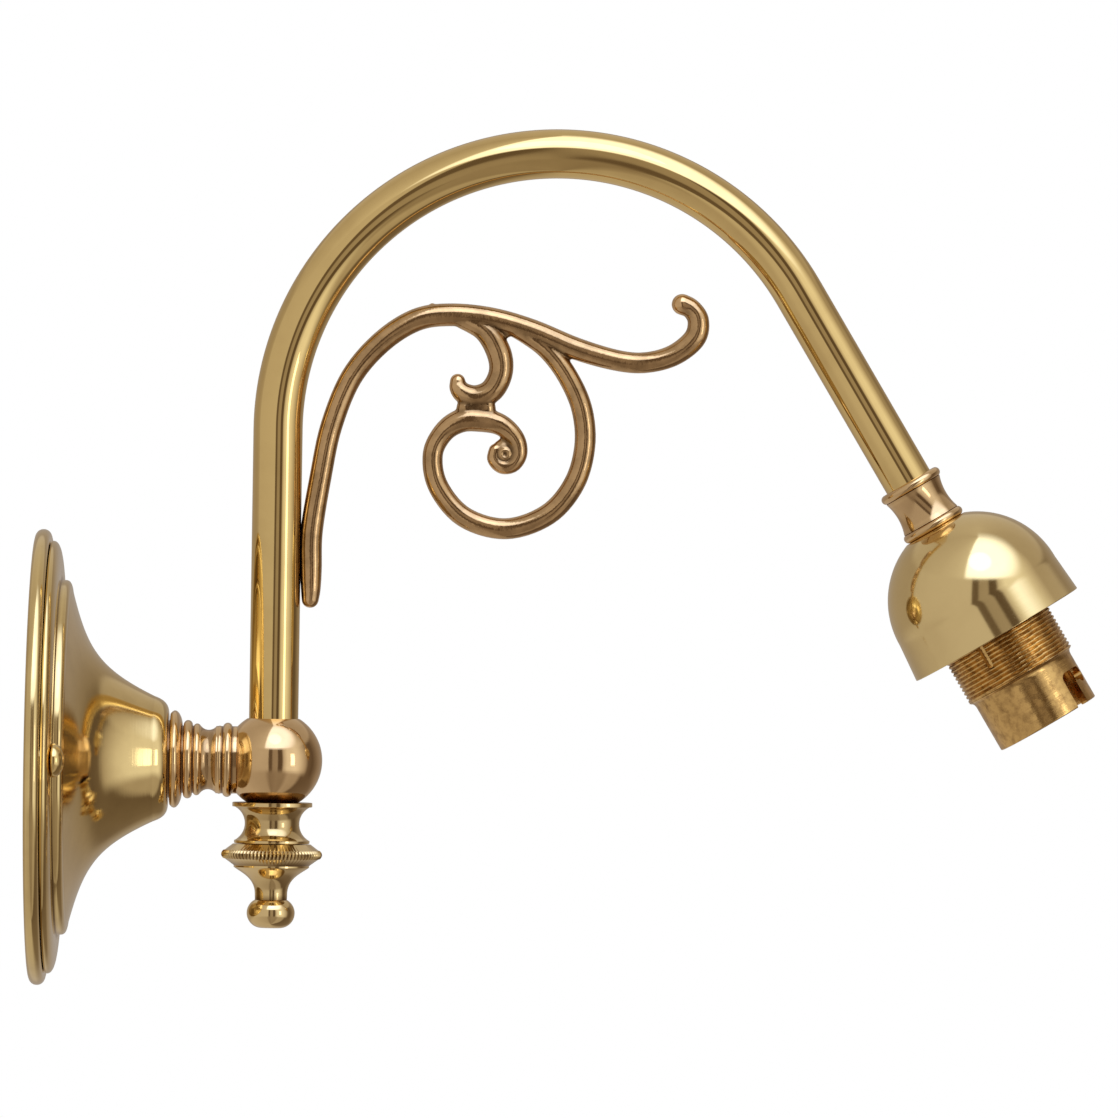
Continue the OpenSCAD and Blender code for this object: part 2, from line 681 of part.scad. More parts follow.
module tube_collar() {
    color(ROSE_BRASS) on_leg(leg_l) rotate_extrude() difference() {
        union() {
            band(nipple_hole_r, collar_core_d / 2, 0, collar_l);
            bead(collar_bead_d, collar_bead_w / 2, collar_bead_w / 2);
            bead(collar_bead_d, collar_bead_w / 2, collar_l - collar_bead_w / 2);
        }
        translate([collar_waist_d / 2 + collar_hollow_r, collar_l / 2]) circle(collar_hollow_r);
    }
}

// From here the local +Z runs down the lamp axis from the cup's seat under the collar
module on_lamp() { on_leg(leg_l + collar_l) children(); }

nipple_in_tube = 13;
lamp_nipple_up = collar_l + nipple_in_tube;
lamp_nipple_down = 6;

module lamp_nipple() {
    color(YELLOW_BRASS) on_lamp() translate([0, 0, -lamp_nipple_up]) nipple(lamp_nipple_up + lamp_nipple_down);
}

cup_seat_r = collar_bead_d / 2;
dome_z = sqrt(pow(cup_dome_d / 2, 2) - pow(cup_seat_r, 2));

// The cup's outline, drawn in by the distance inset
module cup_outline(inset) {
    intersection() {
        translate([0, dome_z]) circle(cup_dome_d / 2 - inset);
        band(0, cup_dome_d, inset, dome_z);
    }
    polygon([[0, dome_z], [cup_dome_d / 2 - inset, dome_z], [cup_rim_d / 2 - inset, cup_l + (inset > 0 ? past : 0)],
        [0, cup_l + (inset > 0 ? past : 0)]]);
}

module cup_cover() {
    color(YELLOW_BRASS) on_lamp() difference() {
        rotate_extrude() difference() {
            cup_outline(0);
            cup_outline(cup_wall);
        }
        translate([0, 0, -past]) cylinder(r = nipple_hole_r, h = 3 * past + cup_wall);
    }
}

// Lampholder, along the lamp axis
thread_end = cup_l + thread_show_l;
mouth = thread_end + barrel_show_l;
step_z = mouth - socket_depth;
barrel_d = socket_bore_d + 2 * barrel_wall;
thread_d = barrel_d + 2 * thread_h;
holder_top = 18;
block_flange_t = 1.8;
block_top = holder_top - block_flange_t;
inner_r = socket_bore_d / 2 + 0.75;
cap_skirt_r = thread_d / 2 + holder_gap;
cap_wall = 1.3;
cap_boss_r = nipple_d / 2 + 2.6;
cap_boss_end = 7;
cap_shoulder_z = 13;
cap_overlap = 7;
cap_skirt_end = holder_top + cap_overlap;
grub_d = 3;
grub_z = (cup_wall + cap_boss_end) / 2;
cap_earth_d = 3;
cap_earth_z = (cap_shoulder_z + block_top) / 2;

module holder_cap() {
    color(DULL_BRASS) on_lamp() difference() {
        rotate_extrude() polygon([[nipple_hole_r, cup_wall], [cap_boss_r, cup_wall], [cap_boss_r, cap_boss_end],
            [cap_skirt_r + cap_wall, cap_shoulder_z], [cap_skirt_r + cap_wall, cap_skirt_end],
            [cap_skirt_r, cap_skirt_end], [cap_skirt_r, block_top], [cap_skirt_r - 1.4, block_top],
            [cap_skirt_r - 1.4, cap_shoulder_z], [nipple_hole_r, cap_boss_end - 0.2]]);
        translate([0, 0, grub_z]) rotate([0, -90, 0]) cylinder(d = grub_d, h = 2 * cap_boss_r);
        translate([0, 0, cap_earth_z]) rotate([0, -90, 0]) cylinder(d = cap_earth_d, h = 2 * cap_skirt_r);
    }
}

module cap_grub_screw() {
    color(STEEL) on_lamp() translate([0, 0, grub_z]) rotate([0, -90, 0]) difference() {
        translate([0, 0, nipple_hole_r]) cylinder(d = grub_d, h = cap_boss_r - nipple_hole_r);
        translate([-grub_d, -0.3, cap_boss_r - 0.8]) cube([2 * grub_d, 0.6, past]);
    }
}

module cap_earth_screw() {
    head_z = cap_skirt_r + cap_wall + 0.1;
    color(YELLOW_BRASS) on_lamp() translate([0, 0, cap_earth_z]) rotate([0, -90, 0]) difference() {
        union() {
            translate([0, 0, cap_skirt_r - 2.6]) cylinder(d = cap_earth_d, h = head_z - cap_skirt_r + 2.7);
            translate([0, 0, head_z]) cylinder(d = 1.8 * cap_earth_d, h = 1.6);
        }
        translate([-cap_earth_d, -0.35, head_z + 0.8]) cube([2 * cap_earth_d, 0.7, past]);
    }
}

// Bayonet slots: an angle is measured round the lamp axis, from the side that faces -Y
slot_angle = 46;
pin_seat_drop = 0.9;
lug_notch = 1;

// Points a radial cutter at the given angle, its local +Z going out and its local +X going up
module radial(angle, z) { translate([0, 0, z]) rotate([0, 0, -90 - angle]) rotate([0, 90, 0]) children(); }

// A straight slot's outline from a round end at the origin to a square end at the distance l
module slot_outline(w, l) {
    circle(d = w);
    translate([min(l, 0), -w / 2]) square([abs(l), w]);
}

module bayonet_slot(angle) {
    // Straight entry from the mouth, with a round top
    radial(angle, mouth - slot_depth + slot_w / 2)
        linear_extrude(barrel_d) slot_outline(slot_w, -slot_depth - past);
    // Turn to the hook
    translate([0, 0, mouth - slot_depth]) rotate([0, 0, -90 - angle - slot_turn])
        rotate_extrude(angle = slot_turn) translate([socket_bore_d / 4, 0])
            square([barrel_d / 2, slot_depth - lug_h]);
    // Seat that holds the lamp's pin behind the lug
    radial(angle + slot_turn - lug_notch, mouth - lug_h - slot_w / 2 + pin_seat_drop)
        cylinder(d = slot_w, h = barrel_d);
}

key_angle = -23;
key_show_l = 6;
key_end = cup_l + key_show_l;
key_depth = 1.2;
groove_z = cap_skirt_end + 1;
groove_w = 1.5;
groove_depth = 0.35;

module holder_barrel() {
    edge = 0.5;
    groove_r = thread_d / 2 - groove_depth;
    color(DULL_BRASS) on_lamp() difference() {
        rotate_extrude() difference() {
            polygon([[0, holder_top], [thread_d / 2 - edge, holder_top], [thread_d / 2, holder_top + edge],
                [thread_d / 2, groove_z], [groove_r, groove_z + groove_depth],
                [groove_r, groove_z + groove_w - groove_depth], [thread_d / 2, groove_z + groove_w],
                [thread_d / 2, thread_end - 0.4], [thread_d / 2 - edge, thread_end],
                [barrel_d / 2, thread_end + 1.2], [barrel_d / 2, mouth - edge],
                [barrel_d / 2 - edge, mouth], [0, mouth]]);
            band(0, inner_r, holder_top - past, step_z);
            band(0, socket_bore_d / 2, step_z - past, mouth + past);
        }
        for (half = [0, 180]) bayonet_slot(slot_angle + half);
        radial(key_angle, key_end - key_w / 2) translate([0, 0, thread_d / 2 - key_depth])
            linear_extrude(thread_d) slot_outline(key_w, key_end - holder_top);
    }
}

// Contacts
plunger_offset = socket_bore_d / 2 - plunger_inset;
block_r = inner_r - holder_gap;
block_wall = 1.4;
block_flange_r = cap_skirt_r - 0.35;
block_face = step_z - 4;
recess_floor = block_top + 4.3;
contact_r = plunger_guide_d / 2 + plunger_gap + 0.75;
contact_top = block_top + 0.8;
contact_floor = block_top + 5.8;
contact_lip = 1;
plunger_line = -18;

// The two places of a contact, at equal distances from the lamp axis
module contact_place(front) {
    rotate([0, 0, -90 - plunger_line + (front ? 0 : 180)]) translate([plunger_offset, 0, 0]) children();
}

module contact_block() {
    color(MOULDING) on_lamp() difference() {
        rotate_extrude() difference() {
            union() {
                band(0, block_flange_r, block_top, holder_top);
                band(0, block_r, holder_top, step_z);
            }
            band(0, block_r - block_wall, block_face, step_z + past);
            band(0, block_r - block_wall, block_top - past, recess_floor);
        }
        for (front = [true, false]) contact_place(front)
            translate([0, 0, block_top]) cylinder(r = contact_r, h = mouth);
    }
}

module contact_tubes() {
    color(YELLOW_BRASS) on_lamp() for (front = [true, false]) contact_place(front) difference() {
        translate([0, 0, contact_top]) cylinder(r = contact_r, h = block_face - contact_top);
        translate([0, 0, contact_floor])
            cylinder(r = plunger_guide_d / 2 + plunger_gap, h = block_face - contact_lip - contact_floor);
        translate([0, 0, contact_floor]) cylinder(r = plunger_tip_d / 2 + plunger_gap, h = mouth);
        translate([0, 0, contact_top - past]) cylinder(r = wire_hole_r, h = past + 3.2);
        translate([0, 0, contact_top + 1.6]) rotate([0, 90, 0]) cylinder(d = contact_screw_d, h = 2 * contact_r);
    }
}

wire_hole_r = 1;
contact_screw_d = 1.8;
contact_screw_head = 1;

module contact_screws() {
    color(STEEL) on_lamp() for (front = [true, false]) contact_place(front)
        translate([0, 0, contact_top + 1.6]) rotate([0, 90, 0]) difference() {
            union() {
                translate([0, 0, wire_hole_r]) cylinder(d = contact_screw_d, h = contact_r - wire_hole_r);
                translate([0, 0, contact_r]) cylinder(d = 1.5 * contact_screw_d, h = contact_screw_head);
            }
            translate([-contact_screw_d, -0.2, contact_r + 0.4]) cube([2 * contact_screw_d, 0.4, past]);
        }
}

// Plungers: a guide inside the tube and a tip that stands out of the block
guide_end = block_face - contact_lip;
guide_l = 7;
tip_end = block_face + plunger_travel + 0.5;

module plunger(front) {
    color(YELLOW_BRASS) on_lamp() contact_place(front) rotate_extrude() {
        band(0, plunger_guide_d / 2, guide_end - guide_l, guide_end);
        band(0, plunger_tip_d / 2, guide_end, tip_end - 0.6);
        polygon([[0, tip_end - 0.6], [plunger_tip_d / 2, tip_end - 0.6], [plunger_tip_d / 2 - 0.5, tip_end - 0.1],
            [plunger_tip_d / 2 - 1, tip_end], [0, tip_end]]);
    }
}

module plunger_front() { plunger(true); }

module plunger_rear() { plunger(false); }

// Springs: a round wire along a helix between the tube's floor and the plunger's guide
spring_l = guide_end - guide_l - contact_floor - 2 * spring_gap;
spring_r = plunger_guide_d / 2 - spring_wire_d / 2 - 0.25;
wire_sides = 6;
rings_per_turn = 10;

module coil(l) {
    rings = spring_turns * rings_per_turn;
    rise = l - spring_wire_d;
    points = [for (i = [0 : rings], k = [0 : wire_sides - 1])
        let (turn = 360 * i / rings_per_turn, side = 360 * k / wire_sides,
            r = spring_r + spring_wire_d / 2 * cos(side))
        [r * cos(turn), r * sin(turn), spring_wire_d / 2 * (1 + sin(side)) + rise * i / rings]];
    walls = [for (i = [0 : rings - 1], k = [0 : wire_sides - 1])
        let (next = (k + 1) % wire_sides, a = i * wire_sides, b = a + wire_sides)
        [a + k, a + next, b + next, b + k]];
    first_end = [for (k = [wire_sides - 1 : -1 : 0]) k];
    last_end = [for (k = [0 : wire_sides - 1]) rings * wire_sides + k];
    polyhedron(points, concat(walls, [first_end, last_end]), convexity = 10);
}

module spring(front) {
    color(STEEL) on_lamp() contact_place(front) translate([0, 0, contact_floor + spring_gap]) coil(spring_l);
}

module spring_front() { spring(true); }

module spring_rear() { spring(false); }

back_plate();
cable_bush();
terminal_block();
terminal_tubes();
terminal_screws();
block_screws();
earth_screw();
earth_washer();
rose_cover();
cover_screws();
neck();
neck_nipple();
neck_washer();
neck_nut();
ball_elbow();
arm_nipple();
finial_spool();
finial();
swan_neck();
scroll();
tube_collar();
lamp_nipple();
cup_cover();
holder_cap();
cap_grub_screw();
cap_earth_screw();
holder_barrel();
contact_block();
contact_tubes();
contact_screws();
plunger_front();
plunger_rear();
spring_front();
spring_rear();
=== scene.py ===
"""Looks of the lamp wall bracket, piece by piece in the order in which it is put together."""

import math

import bmesh
import bpy
import numpy as np
from mathutils import Matrix, Vector


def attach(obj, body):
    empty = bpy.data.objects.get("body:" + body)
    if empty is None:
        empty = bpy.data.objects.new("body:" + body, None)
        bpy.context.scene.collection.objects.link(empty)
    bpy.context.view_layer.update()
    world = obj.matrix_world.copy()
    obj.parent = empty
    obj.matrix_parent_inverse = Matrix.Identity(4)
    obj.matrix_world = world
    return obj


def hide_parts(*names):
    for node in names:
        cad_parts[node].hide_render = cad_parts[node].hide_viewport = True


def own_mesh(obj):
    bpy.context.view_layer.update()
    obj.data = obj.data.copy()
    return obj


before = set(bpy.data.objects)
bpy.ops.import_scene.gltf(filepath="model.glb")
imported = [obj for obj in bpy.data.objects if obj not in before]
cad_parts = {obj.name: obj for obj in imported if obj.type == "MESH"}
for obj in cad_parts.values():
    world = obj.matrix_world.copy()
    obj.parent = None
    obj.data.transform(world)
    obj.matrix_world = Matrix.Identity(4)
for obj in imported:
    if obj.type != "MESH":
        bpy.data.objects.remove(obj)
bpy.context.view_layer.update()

# Back plate
# A spun brass dish with a rolled rim, flat on the wall. It has two holes for the wall screws, one for the
# cable and two for the terminal block's screws, and three bosses for the earth screw and the cover's screws.
MM = 0.001


def placed(name, data):
    """An object of this mesh, lamp or camera, put in the scene."""
    thing = bpy.data.objects.new(name, data)
    bpy.context.collection.objects.link(thing)
    return thing


def mesh_object(name, vertices, faces, uv=None):
    """A mesh object from vertices in metres; uv gives one pair for each corner of each face."""
    mesh = bpy.data.meshes.new(name)
    mesh.from_pydata([tuple(v) for v in vertices], [], [tuple(f) for f in faces])
    if uv is not None:
        layer = mesh.uv_layers.new(name="UVMap")
        layer.data.foreach_set("uv", np.asarray(uv, dtype=np.float32).ravel())
    return placed(name, mesh)


def shade_smooth(mesh, corner=24):
    """Smooth shading that leaves corners of more than this many degrees sharp."""
    mesh.polygons.foreach_set("use_smooth", [True] * len(mesh.polygons))
    mesh.set_sharp_from_angle(angle=math.radians(corner))


def finish_piece(piece, body, replaced, material, corner=24):
    """Makes an object a piece: its finish, the body it rides on, and the solids it takes the place of."""
    shade_smooth(piece.data, corner)
    piece.data.materials.clear()
    piece.data.materials.append(material)
    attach(piece, body)
    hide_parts(*replaced)


def set_groove(mesh, values):
    """The depth of the grooves at each vertex, where the finishes darken the metal: tarnish and painted shade.
    """
    layer = mesh.attributes.new("groove", "FLOAT", "POINT")
    layer.data.foreach_set("value", np.asarray(values, dtype=np.float32))


def arc(cx, cy, radius, start, end, steps):
    """Points of a circular arc, angles in degrees."""
    angles = [math.radians(start + (end - start) * i / steps) for i in range(steps + 1)]
    return [(cx + radius * math.cos(a), cy + radius * math.sin(a)) for a in angles]


def bow(a, b, c, d, steps):
    """Points of a cubic curve from a to d, pulled towards b and c."""
    points = []
    for i in range(steps + 1):
        t = i / steps
        points.append(tuple((1 - t) ** 3 * a[k] + 3 * (1 - t) ** 2 * t * b[k] + 3 * (1 - t) * t * t * c[k]
                            + t ** 3 * d[k] for k in (0, 1)))
    return points


def divided(points, step):
    """The same line with points no further apart than step."""
    line = [points[0]]
    for a, b in zip(points, points[1:]):
        parts = max(1, math.ceil(math.dist(a, b) / step))
        line += [(a[0] + (b[0] - a[0]) * i / parts, a[1] + (b[1] - a[1]) * i / parts)
                 for i in range(1, parts + 1)]
    return line


def turned_mesh(profile, place, steps, radius_at=None):
    """Vertices, faces, corner uvs and groove depths of a closed profile [(radius, height)] in mm, turned
    about local Z and put in its place. radius_at(radius, height, angle) may move a point in or out."""
    reach, full_groove, full_cut = 1.3, 0.22, 0.4
    rows = [p for i, p in enumerate(profile) if i == 0 or math.dist(p, profile[i - 1]) > 1e-6]
    if math.dist(rows[0], rows[-1]) < 1e-6:
        rows.pop()
    closed = rows[0][0] > 1e-6 or rows[-1][0] > 1e-6
    line = np.array(rows)
    length = np.concatenate([[0], np.cumsum(np.hypot(*np.diff(line, axis=0).T))])
    ends = np.vstack([line, line[:1]]) if closed else line
    tangent = np.gradient(line, axis=0)
    normal = np.stack([tangent[:, 1], -tangent[:, 0]], axis=1)
    normal /= np.maximum(np.linalg.norm(normal, axis=1, keepdims=True), 1e-9)
    area = sum(ends[i, 0] * ends[i + 1, 1] - ends[i + 1, 0] * ends[i, 1] for i in range(len(ends) - 1))
    if area < 0:
        normal = -normal
    # A point below the mean of its neighbours along the profile lies in a groove; the finishes darken it there
    # as tarnish and painted shade
    groove = np.zeros(len(line))
    for i in range(len(line)):
        near = np.abs(length - length[i]) < reach
        groove[i] = np.clip(np.dot(line[near].mean(axis=0) - line[i], normal[i]) / full_groove, -1, 1)
    vertices, start, values = [], [], []
    for (r, h), depth in zip(rows, groove):
        start.append(len(vertices))
        if r < 1e-6:
            vertices.append((0, 0, h))
            values.append(depth)
            continue
        for k in range(steps):
            angle = 2 * math.pi * k / steps
            radius = radius_at(r, h, angle) if radius_at else r
            vertices.append((radius * math.cos(angle), radius * math.sin(angle), h))
            # A cut made by radius_at, such as the thread or the knurl, darkens the same way, with painted
            # shade in its hollows
            values.append(max(depth, (r - radius) / full_cut))
    count = len(rows)
    faces, uv = [], []
    for i in range(count if closed else count - 1):
        j = (i + 1) % count
        v0 = length[i]
        v1 = length[j] if j > i else length[i] + math.dist(rows[i], rows[j])
        for k in range(steps):
            n = (k + 1) % steps
            a0 = start[i] + (k if rows[i][0] > 1e-6 else 0)
            a1 = start[i] + (n if rows[i][0] > 1e-6 else 0)
            b0 = start[j] + (k if rows[j][0] > 1e-6 else 0)
            b1 = start[j] + (n if rows[j][0] > 1e-6 else 0)
            corner = [(a0, k, v0), (a1, k + 1, v0), (b1, k + 1, v1), (b0, k, v1)]
            if a0 == a1:
                corner.pop(1)
            if b0 == b1:
                corner.pop(2)
            if area < 0:
                corner.reverse()
            faces.append([c[0] for c in corner])
            uv += [(c[1] / steps, c[2] * MM) for c in corner]
    where = np.array(place.to_3x3())
    moved = np.array(vertices) @ where.T + np.array(place.translation)
    return moved * MM, faces, uv, values


def loose(name, profile, place, steps, radius_at=None):
    """A turned object that is not yet a piece."""
    vertices, faces, uv, groove = turned_mesh(profile, place, steps, radius_at)
    thing = mesh_object(name, vertices, faces, uv)
    set_groove(thing.data, groove)
    return thing


def turned(name, profile, place, body, replaced, material, steps=224, radius_at=None):
    """A turned piece of the bracket, from a profile as in turned_mesh."""
    piece = loose(name, profile, place, steps, radius_at)
    finish_piece(piece, body, replaced, material)
    return piece


def feed(tree, socket, value):
    """Puts a constant on a socket, or links another socket to it."""
    if isinstance(value, bpy.types.NodeSocket):
        tree.links.new(value, socket)
    else:
        socket.default_value = value


def mixed(tree, kind, factor, a, b, blend="MIX"):
    """A Mix node of the given kind with constants or links on its three inputs."""
    node = tree.nodes.new("ShaderNodeMix")
    node.data_type = kind
    node.blend_type = blend
    first, second, result = {"RGBA": (6, 7, 2), "FLOAT": (2, 3, 0)}[kind]
    feed(tree, node.inputs[0], factor)
    feed(tree, node.inputs[first], a)
    feed(tree, node.inputs[second], b)
    return node.outputs[result]


def shared_group(name, inputs, outputs):
    """An empty shader group with its named inputs [(name, kind, default)] and outputs [(name, kind)]."""
    group = bpy.data.node_groups.new(name, "ShaderNodeTree")
    for label, kind, default in inputs:
        socket = group.interface.new_socket(label, in_out="INPUT", socket_type=kind)
        socket.default_value = default
    for label, kind in outputs:
        group.interface.new_socket(label, in_out="OUTPUT", socket_type=kind)
    return group, group.nodes.new("NodeGroupInput"), group.nodes.new("NodeGroupOutput")


def worked(tree, operation, a, b=0.0, clamp=False):
    """A Math node."""
    node = tree.nodes.new("ShaderNodeMath")
    node.operation = operation
    node.use_clamp = clamp
    feed(tree, node.inputs[0], a)
    feed(tree, node.inputs[1], b)
    return node.outputs[0]


def noise(tree, vector, scale, detail=2.0, roughness=0.5):
    """A Noise node over a coordinate."""
    node = tree.nodes.new("ShaderNodeTexNoise")
    tree.links.new(vector, node.inputs["Vector"])
    feed(tree, node.inputs["Scale"], scale)
    node.inputs["Detail"].default_value = detail
    node.inputs["Roughness"].default_value = roughness
    return node.outputs["Fac"]


# Surface of worked brass: faint clouding all over, darker metal down in the grooves, which is tarnish and
# painted shade, and fine marks
brass_skin, skin_in, skin_out = shared_group(
    "brass_skin",
    [("Metal", "NodeSocketColor", (0.8, 0.58, 0.24, 1)), ("Tarnish", "NodeSocketColor", (0.3, 0.15, 0.05, 1)),
     ("Clouding", "NodeSocketFloat", 0.2), ("Cloud Scale", "NodeSocketFloat", 55.0),
     ("Groove Dirt", "NodeSocketFloat", 0.6),
     ("Smooth", "NodeSocketFloat", 0.08), ("Rough", "NodeSocketFloat", 0.25),
     ("Turning Marks", "NodeSocketFloat", 0.1), ("Pitting", "NodeSocketFloat", 0.0)],
    [("Color", "NodeSocketColor"), ("Roughness", "NodeSocketFloat"), ("Height", "NodeSocketFloat")])
place_node = brass_skin.nodes.new("ShaderNodeTexCoord")
cloud = noise(brass_skin, place_node.outputs["Object"], skin_in.outputs["Cloud Scale"], 4.0, 0.6)
fine = noise(brass_skin, place_node.outputs["Object"], 900.0, 2.0, 0.6)
groove_node = brass_skin.nodes.new("ShaderNodeAttribute")
groove_node.attribute_name = "groove"
uv_node = brass_skin.nodes.new("ShaderNodeUVMap")
marks_at = brass_skin.nodes.new("ShaderNodeMapping")
marks_at.inputs["Scale"].default_value = (2.0, 5200.0, 1.0)
brass_skin.links.new(uv_node.outputs["UV"], marks_at.inputs["Vector"])
marks = noise(brass_skin, marks_at.outputs["Vector"], 1.0, 2.0, 0.6)
# Darker metal in the grooves: grime and painted shade, mixed towards the Tarnish colour
grime_and_shade = worked(brass_skin, "MULTIPLY", worked(brass_skin, "MAXIMUM", groove_node.outputs["Fac"], 0.0),
              skin_in.outputs["Groove Dirt"])
stain = worked(brass_skin, "MULTIPLY", worked(brass_skin, "SUBTRACT", cloud, 0.42, clamp=True),
               skin_in.outputs["Clouding"])
stain = worked(brass_skin, "MULTIPLY", stain, 3.0)
tarnish_and_shade = worked(brass_skin, "ADD", grime_and_shade, stain, clamp=True)
brass_skin.links.new(mixed(brass_skin, "RGBA", tarnish_and_shade, skin_in.outputs["Metal"], skin_in.outputs["Tarnish"]),
                     skin_out.inputs["Color"])
dulled = worked(brass_skin, "MULTIPLY", worked(brass_skin, "SUBTRACT", cloud, 0.35), 0.35)
gloss = worked(brass_skin, "ADD", tarnish_and_shade, dulled, clamp=True)
brass_skin.links.new(mixed(brass_skin, "FLOAT", gloss, skin_in.outputs["Smooth"], skin_in.outputs["Rough"]),
                     skin_out.inputs["Roughness"])
turning = worked(brass_skin, "MULTIPLY", marks, skin_in.outputs["Turning Marks"])
pits = worked(brass_skin, "MULTIPLY", fine, skin_in.outputs["Pitting"])
brass_skin.links.new(worked(brass_skin, "ADD", turning, pits), skin_out.inputs["Height"])


def brass(name, bump, **values):
    """A brass finish: the shared skin with its own values, whose names have _ for each space."""
    material = bpy.data.materials.new(name)
    material.use_nodes = True
    tree = material.node_tree
    shader = tree.nodes["Principled BSDF"]
    skin = tree.nodes.new("ShaderNodeGroup")
    skin.node_tree = brass_skin
    for label, value in values.items():
        skin.inputs[label.replace("_", " ")].default_value = value
    relief = tree.nodes.new("ShaderNodeBump")
    relief.inputs["Strength"].default_value = bump
    relief.inputs["Distance"].default_value = 0.05 * MM
    tree.links.new(skin.outputs["Height"], relief.inputs["Height"])
    tree.links.new(skin.outputs["Color"], shader.inputs["Base Color"])
    tree.links.new(skin.outputs["Roughness"], shader.inputs["Roughness"])
    tree.links.new(relief.outputs["Normal"], shader.inputs["Normal"])
    shader.inputs["Metallic"].default_value = 1.0
    return material


spun_brass = brass("spun_brass", 0.25, Metal=(0.80, 0.61, 0.28, 1), Tarnish=(0.28, 0.17, 0.06, 1),
                   Clouding=0.25, Groove_Dirt=0.75, Smooth=0.065, Rough=0.2, Turning_Marks=0.6, Pitting=0.05)

# Local Z of a piece turned for the wall points out into the room, along X
wall_to_room = Matrix(((0, 0, 1, 0), (0, 1, 0, 0), (-1, 0, 0, 0), (0, 0, 0, 1)))
plate_r, plate_rim, plate_web, plate_round, plate_tray_r = 55.5, 3.7, 1.8, 1.75, 48.1
plate_line = ([(0, 0), (plate_r - plate_round, 0)]
              + arc(plate_r - plate_round, plate_round, plate_round, -90, 0, 10)
              + arc(plate_r - plate_round, plate_rim - plate_round, plate_round, 0, 90, 10)
              + [(plate_tray_r, plate_rim), (plate_tray_r, plate_web), (0, plate_web)])


def cylinder_cut(radius, start, end, steps=48):
    """A plain cylinder object in mm between two points, for a cut or a boss."""
    start, end = Vector(start), Vector(end)
    turn = (end - start).to_track_quat("Z", "Y").to_matrix().to_4x4()
    turn.translation = start
    length = (end - start).length
    vertices, faces, _, _ = turned_mesh([(0, 0), (radius, 0), (radius, length), (0, length)], turn, steps)
    return mesh_object("cutter", vertices, faces)


def cut(piece, cutters, operation="DIFFERENCE"):
    """Takes the cutters out of the piece, or joins them to it, and removes them."""
    for cutter in cutters:
        modifier = piece.modifiers.new("cut", "BOOLEAN")
        modifier.operation = operation
        modifier.solver = "EXACT"
        modifier.object = cutter
    bpy.context.view_layer.update()
    mesh = bpy.data.meshes.new_from_object(piece.evaluated_get(bpy.context.evaluated_depsgraph_get()))
    old = piece.data
    piece.modifiers.clear()
    piece.data = mesh
    bpy.data.meshes.remove(old)
    for cutter in cutters:
        bpy.data.objects.remove(cutter)
    shade_smooth(mesh)


def through_plate(radius, y, z):
    """A cutter for a round hole in the back plate."""
    return cylinder_cut(radius, (-1, y, z), (3, y, z))


back_plate = turned("back_plate_spun", plate_line, wall_to_room, "bracket", ["back_plate"],
                    spun_brass)
cover_screw_r, boss_r, boss_top, boss_foot = 47.3, 4.0, 5.3, 1.2
earth_y, earth_boss_r, earth_boss_top = 20, 4.4, 5.0
wall_hole_r, wall_hole_z, cable_hole_r, cable_hole_z = 2.4, 33, 6.0, -16
block_hole_r, block_hole_y, block_hole_z = 1.3, 4.7, 13
cut(back_plate, [cylinder_cut(boss_r, (boss_foot, s * cover_screw_r, 0), (boss_top, s * cover_screw_r, 0))
                 for s in (-1, 1)]
    + [cylinder_cut(earth_boss_r, (boss_foot, earth_y, 0), (earth_boss_top, earth_y, 0))], "UNION")
cut(back_plate, [through_plate(wall_hole_r, 0, s * wall_hole_z) for s in (-1, 1)]
    + [through_plate(cable_hole_r, 0, cable_hole_z)]
    + [through_plate(block_hole_r, s * block_hole_y, block_hole_z) for s in (-1, 1)])

# Rose cover
# Spun from thin brass sheet: flange, raised step, a trumpet that runs up to a rounded nose.
# It is held by two screws through the flange and by the neck's nut behind the nose.
flange_x, step_x, nose_x, foot_x = 6.5, 9.0, 33.0, 3.8
cover_r, step_r, nose_r, nose_round, sheet = 52.7, 43.2, 15.3, 3.6, 1.2
# Radius of the hollow nipples, which pass through the cover, neck, ball, collar and cup
nipple_r = 5.0


def trumpet(foot, top, steps):
    """The cover's long curve from the step up to the nose."""
    width = foot[0] - top[0]
    return bow(foot, (foot[0] - 0.56 * width, foot[1] + 0.147 * width),
               (top[0] + 0.257 * width, top[1] - 0.537 * width), top, steps)


cover_line = ([(cover_r - 0.5, foot_x), (cover_r - 0.15, foot_x + 0.15)]
              + bow((cover_r, foot_x + 0.5), (cover_r, flange_x - 0.8), (cover_r - 2.2, flange_x - 0.2),
                    (cover_r - 6.0, flange_x), 20)
              + arc(step_r + 0.35, flange_x + 0.35, 0.35, 270, 180, 4)
              + bow((step_r, flange_x + 0.9), (step_r, step_x - 0.5), (step_r - 0.8, step_x - 0.1),
                    (step_r - 2.2, step_x), 10)
              + trumpet((step_r - 2.2, step_x), (nose_r, nose_x - nose_round), 90)
              + bow((nose_r, nose_x - nose_round), (nose_r - 0.6, nose_x - nose_round + 1.6),
                    (nose_r - 1.4, nose_x), (nose_r - 4.0, nose_x), 18)
              + [(nipple_r, nose_x), (nipple_r, nose_x - sheet), (nose_r - 4.2, nose_x - sheet)]
              + bow((nose_r - 4.2, nose_x - sheet), (nose_r - 2.6, nose_x - sheet),
                    (nose_r - 1.9, nose_x - nose_round + 1), (nose_r - 1.25, nose_x - nose_round - 0.6), 8)
              + trumpet((step_r - 2.6, step_x - 1.3), (nose_r - 1.25, nose_x - nose_round - 0.6), 40)[::-1]
              + [(step_r - sheet, step_x - 1.3), (step_r - sheet, flange_x - sheet),
                 (cover_r - sheet, flange_x - sheet), (cover_r - sheet, foot_x)])
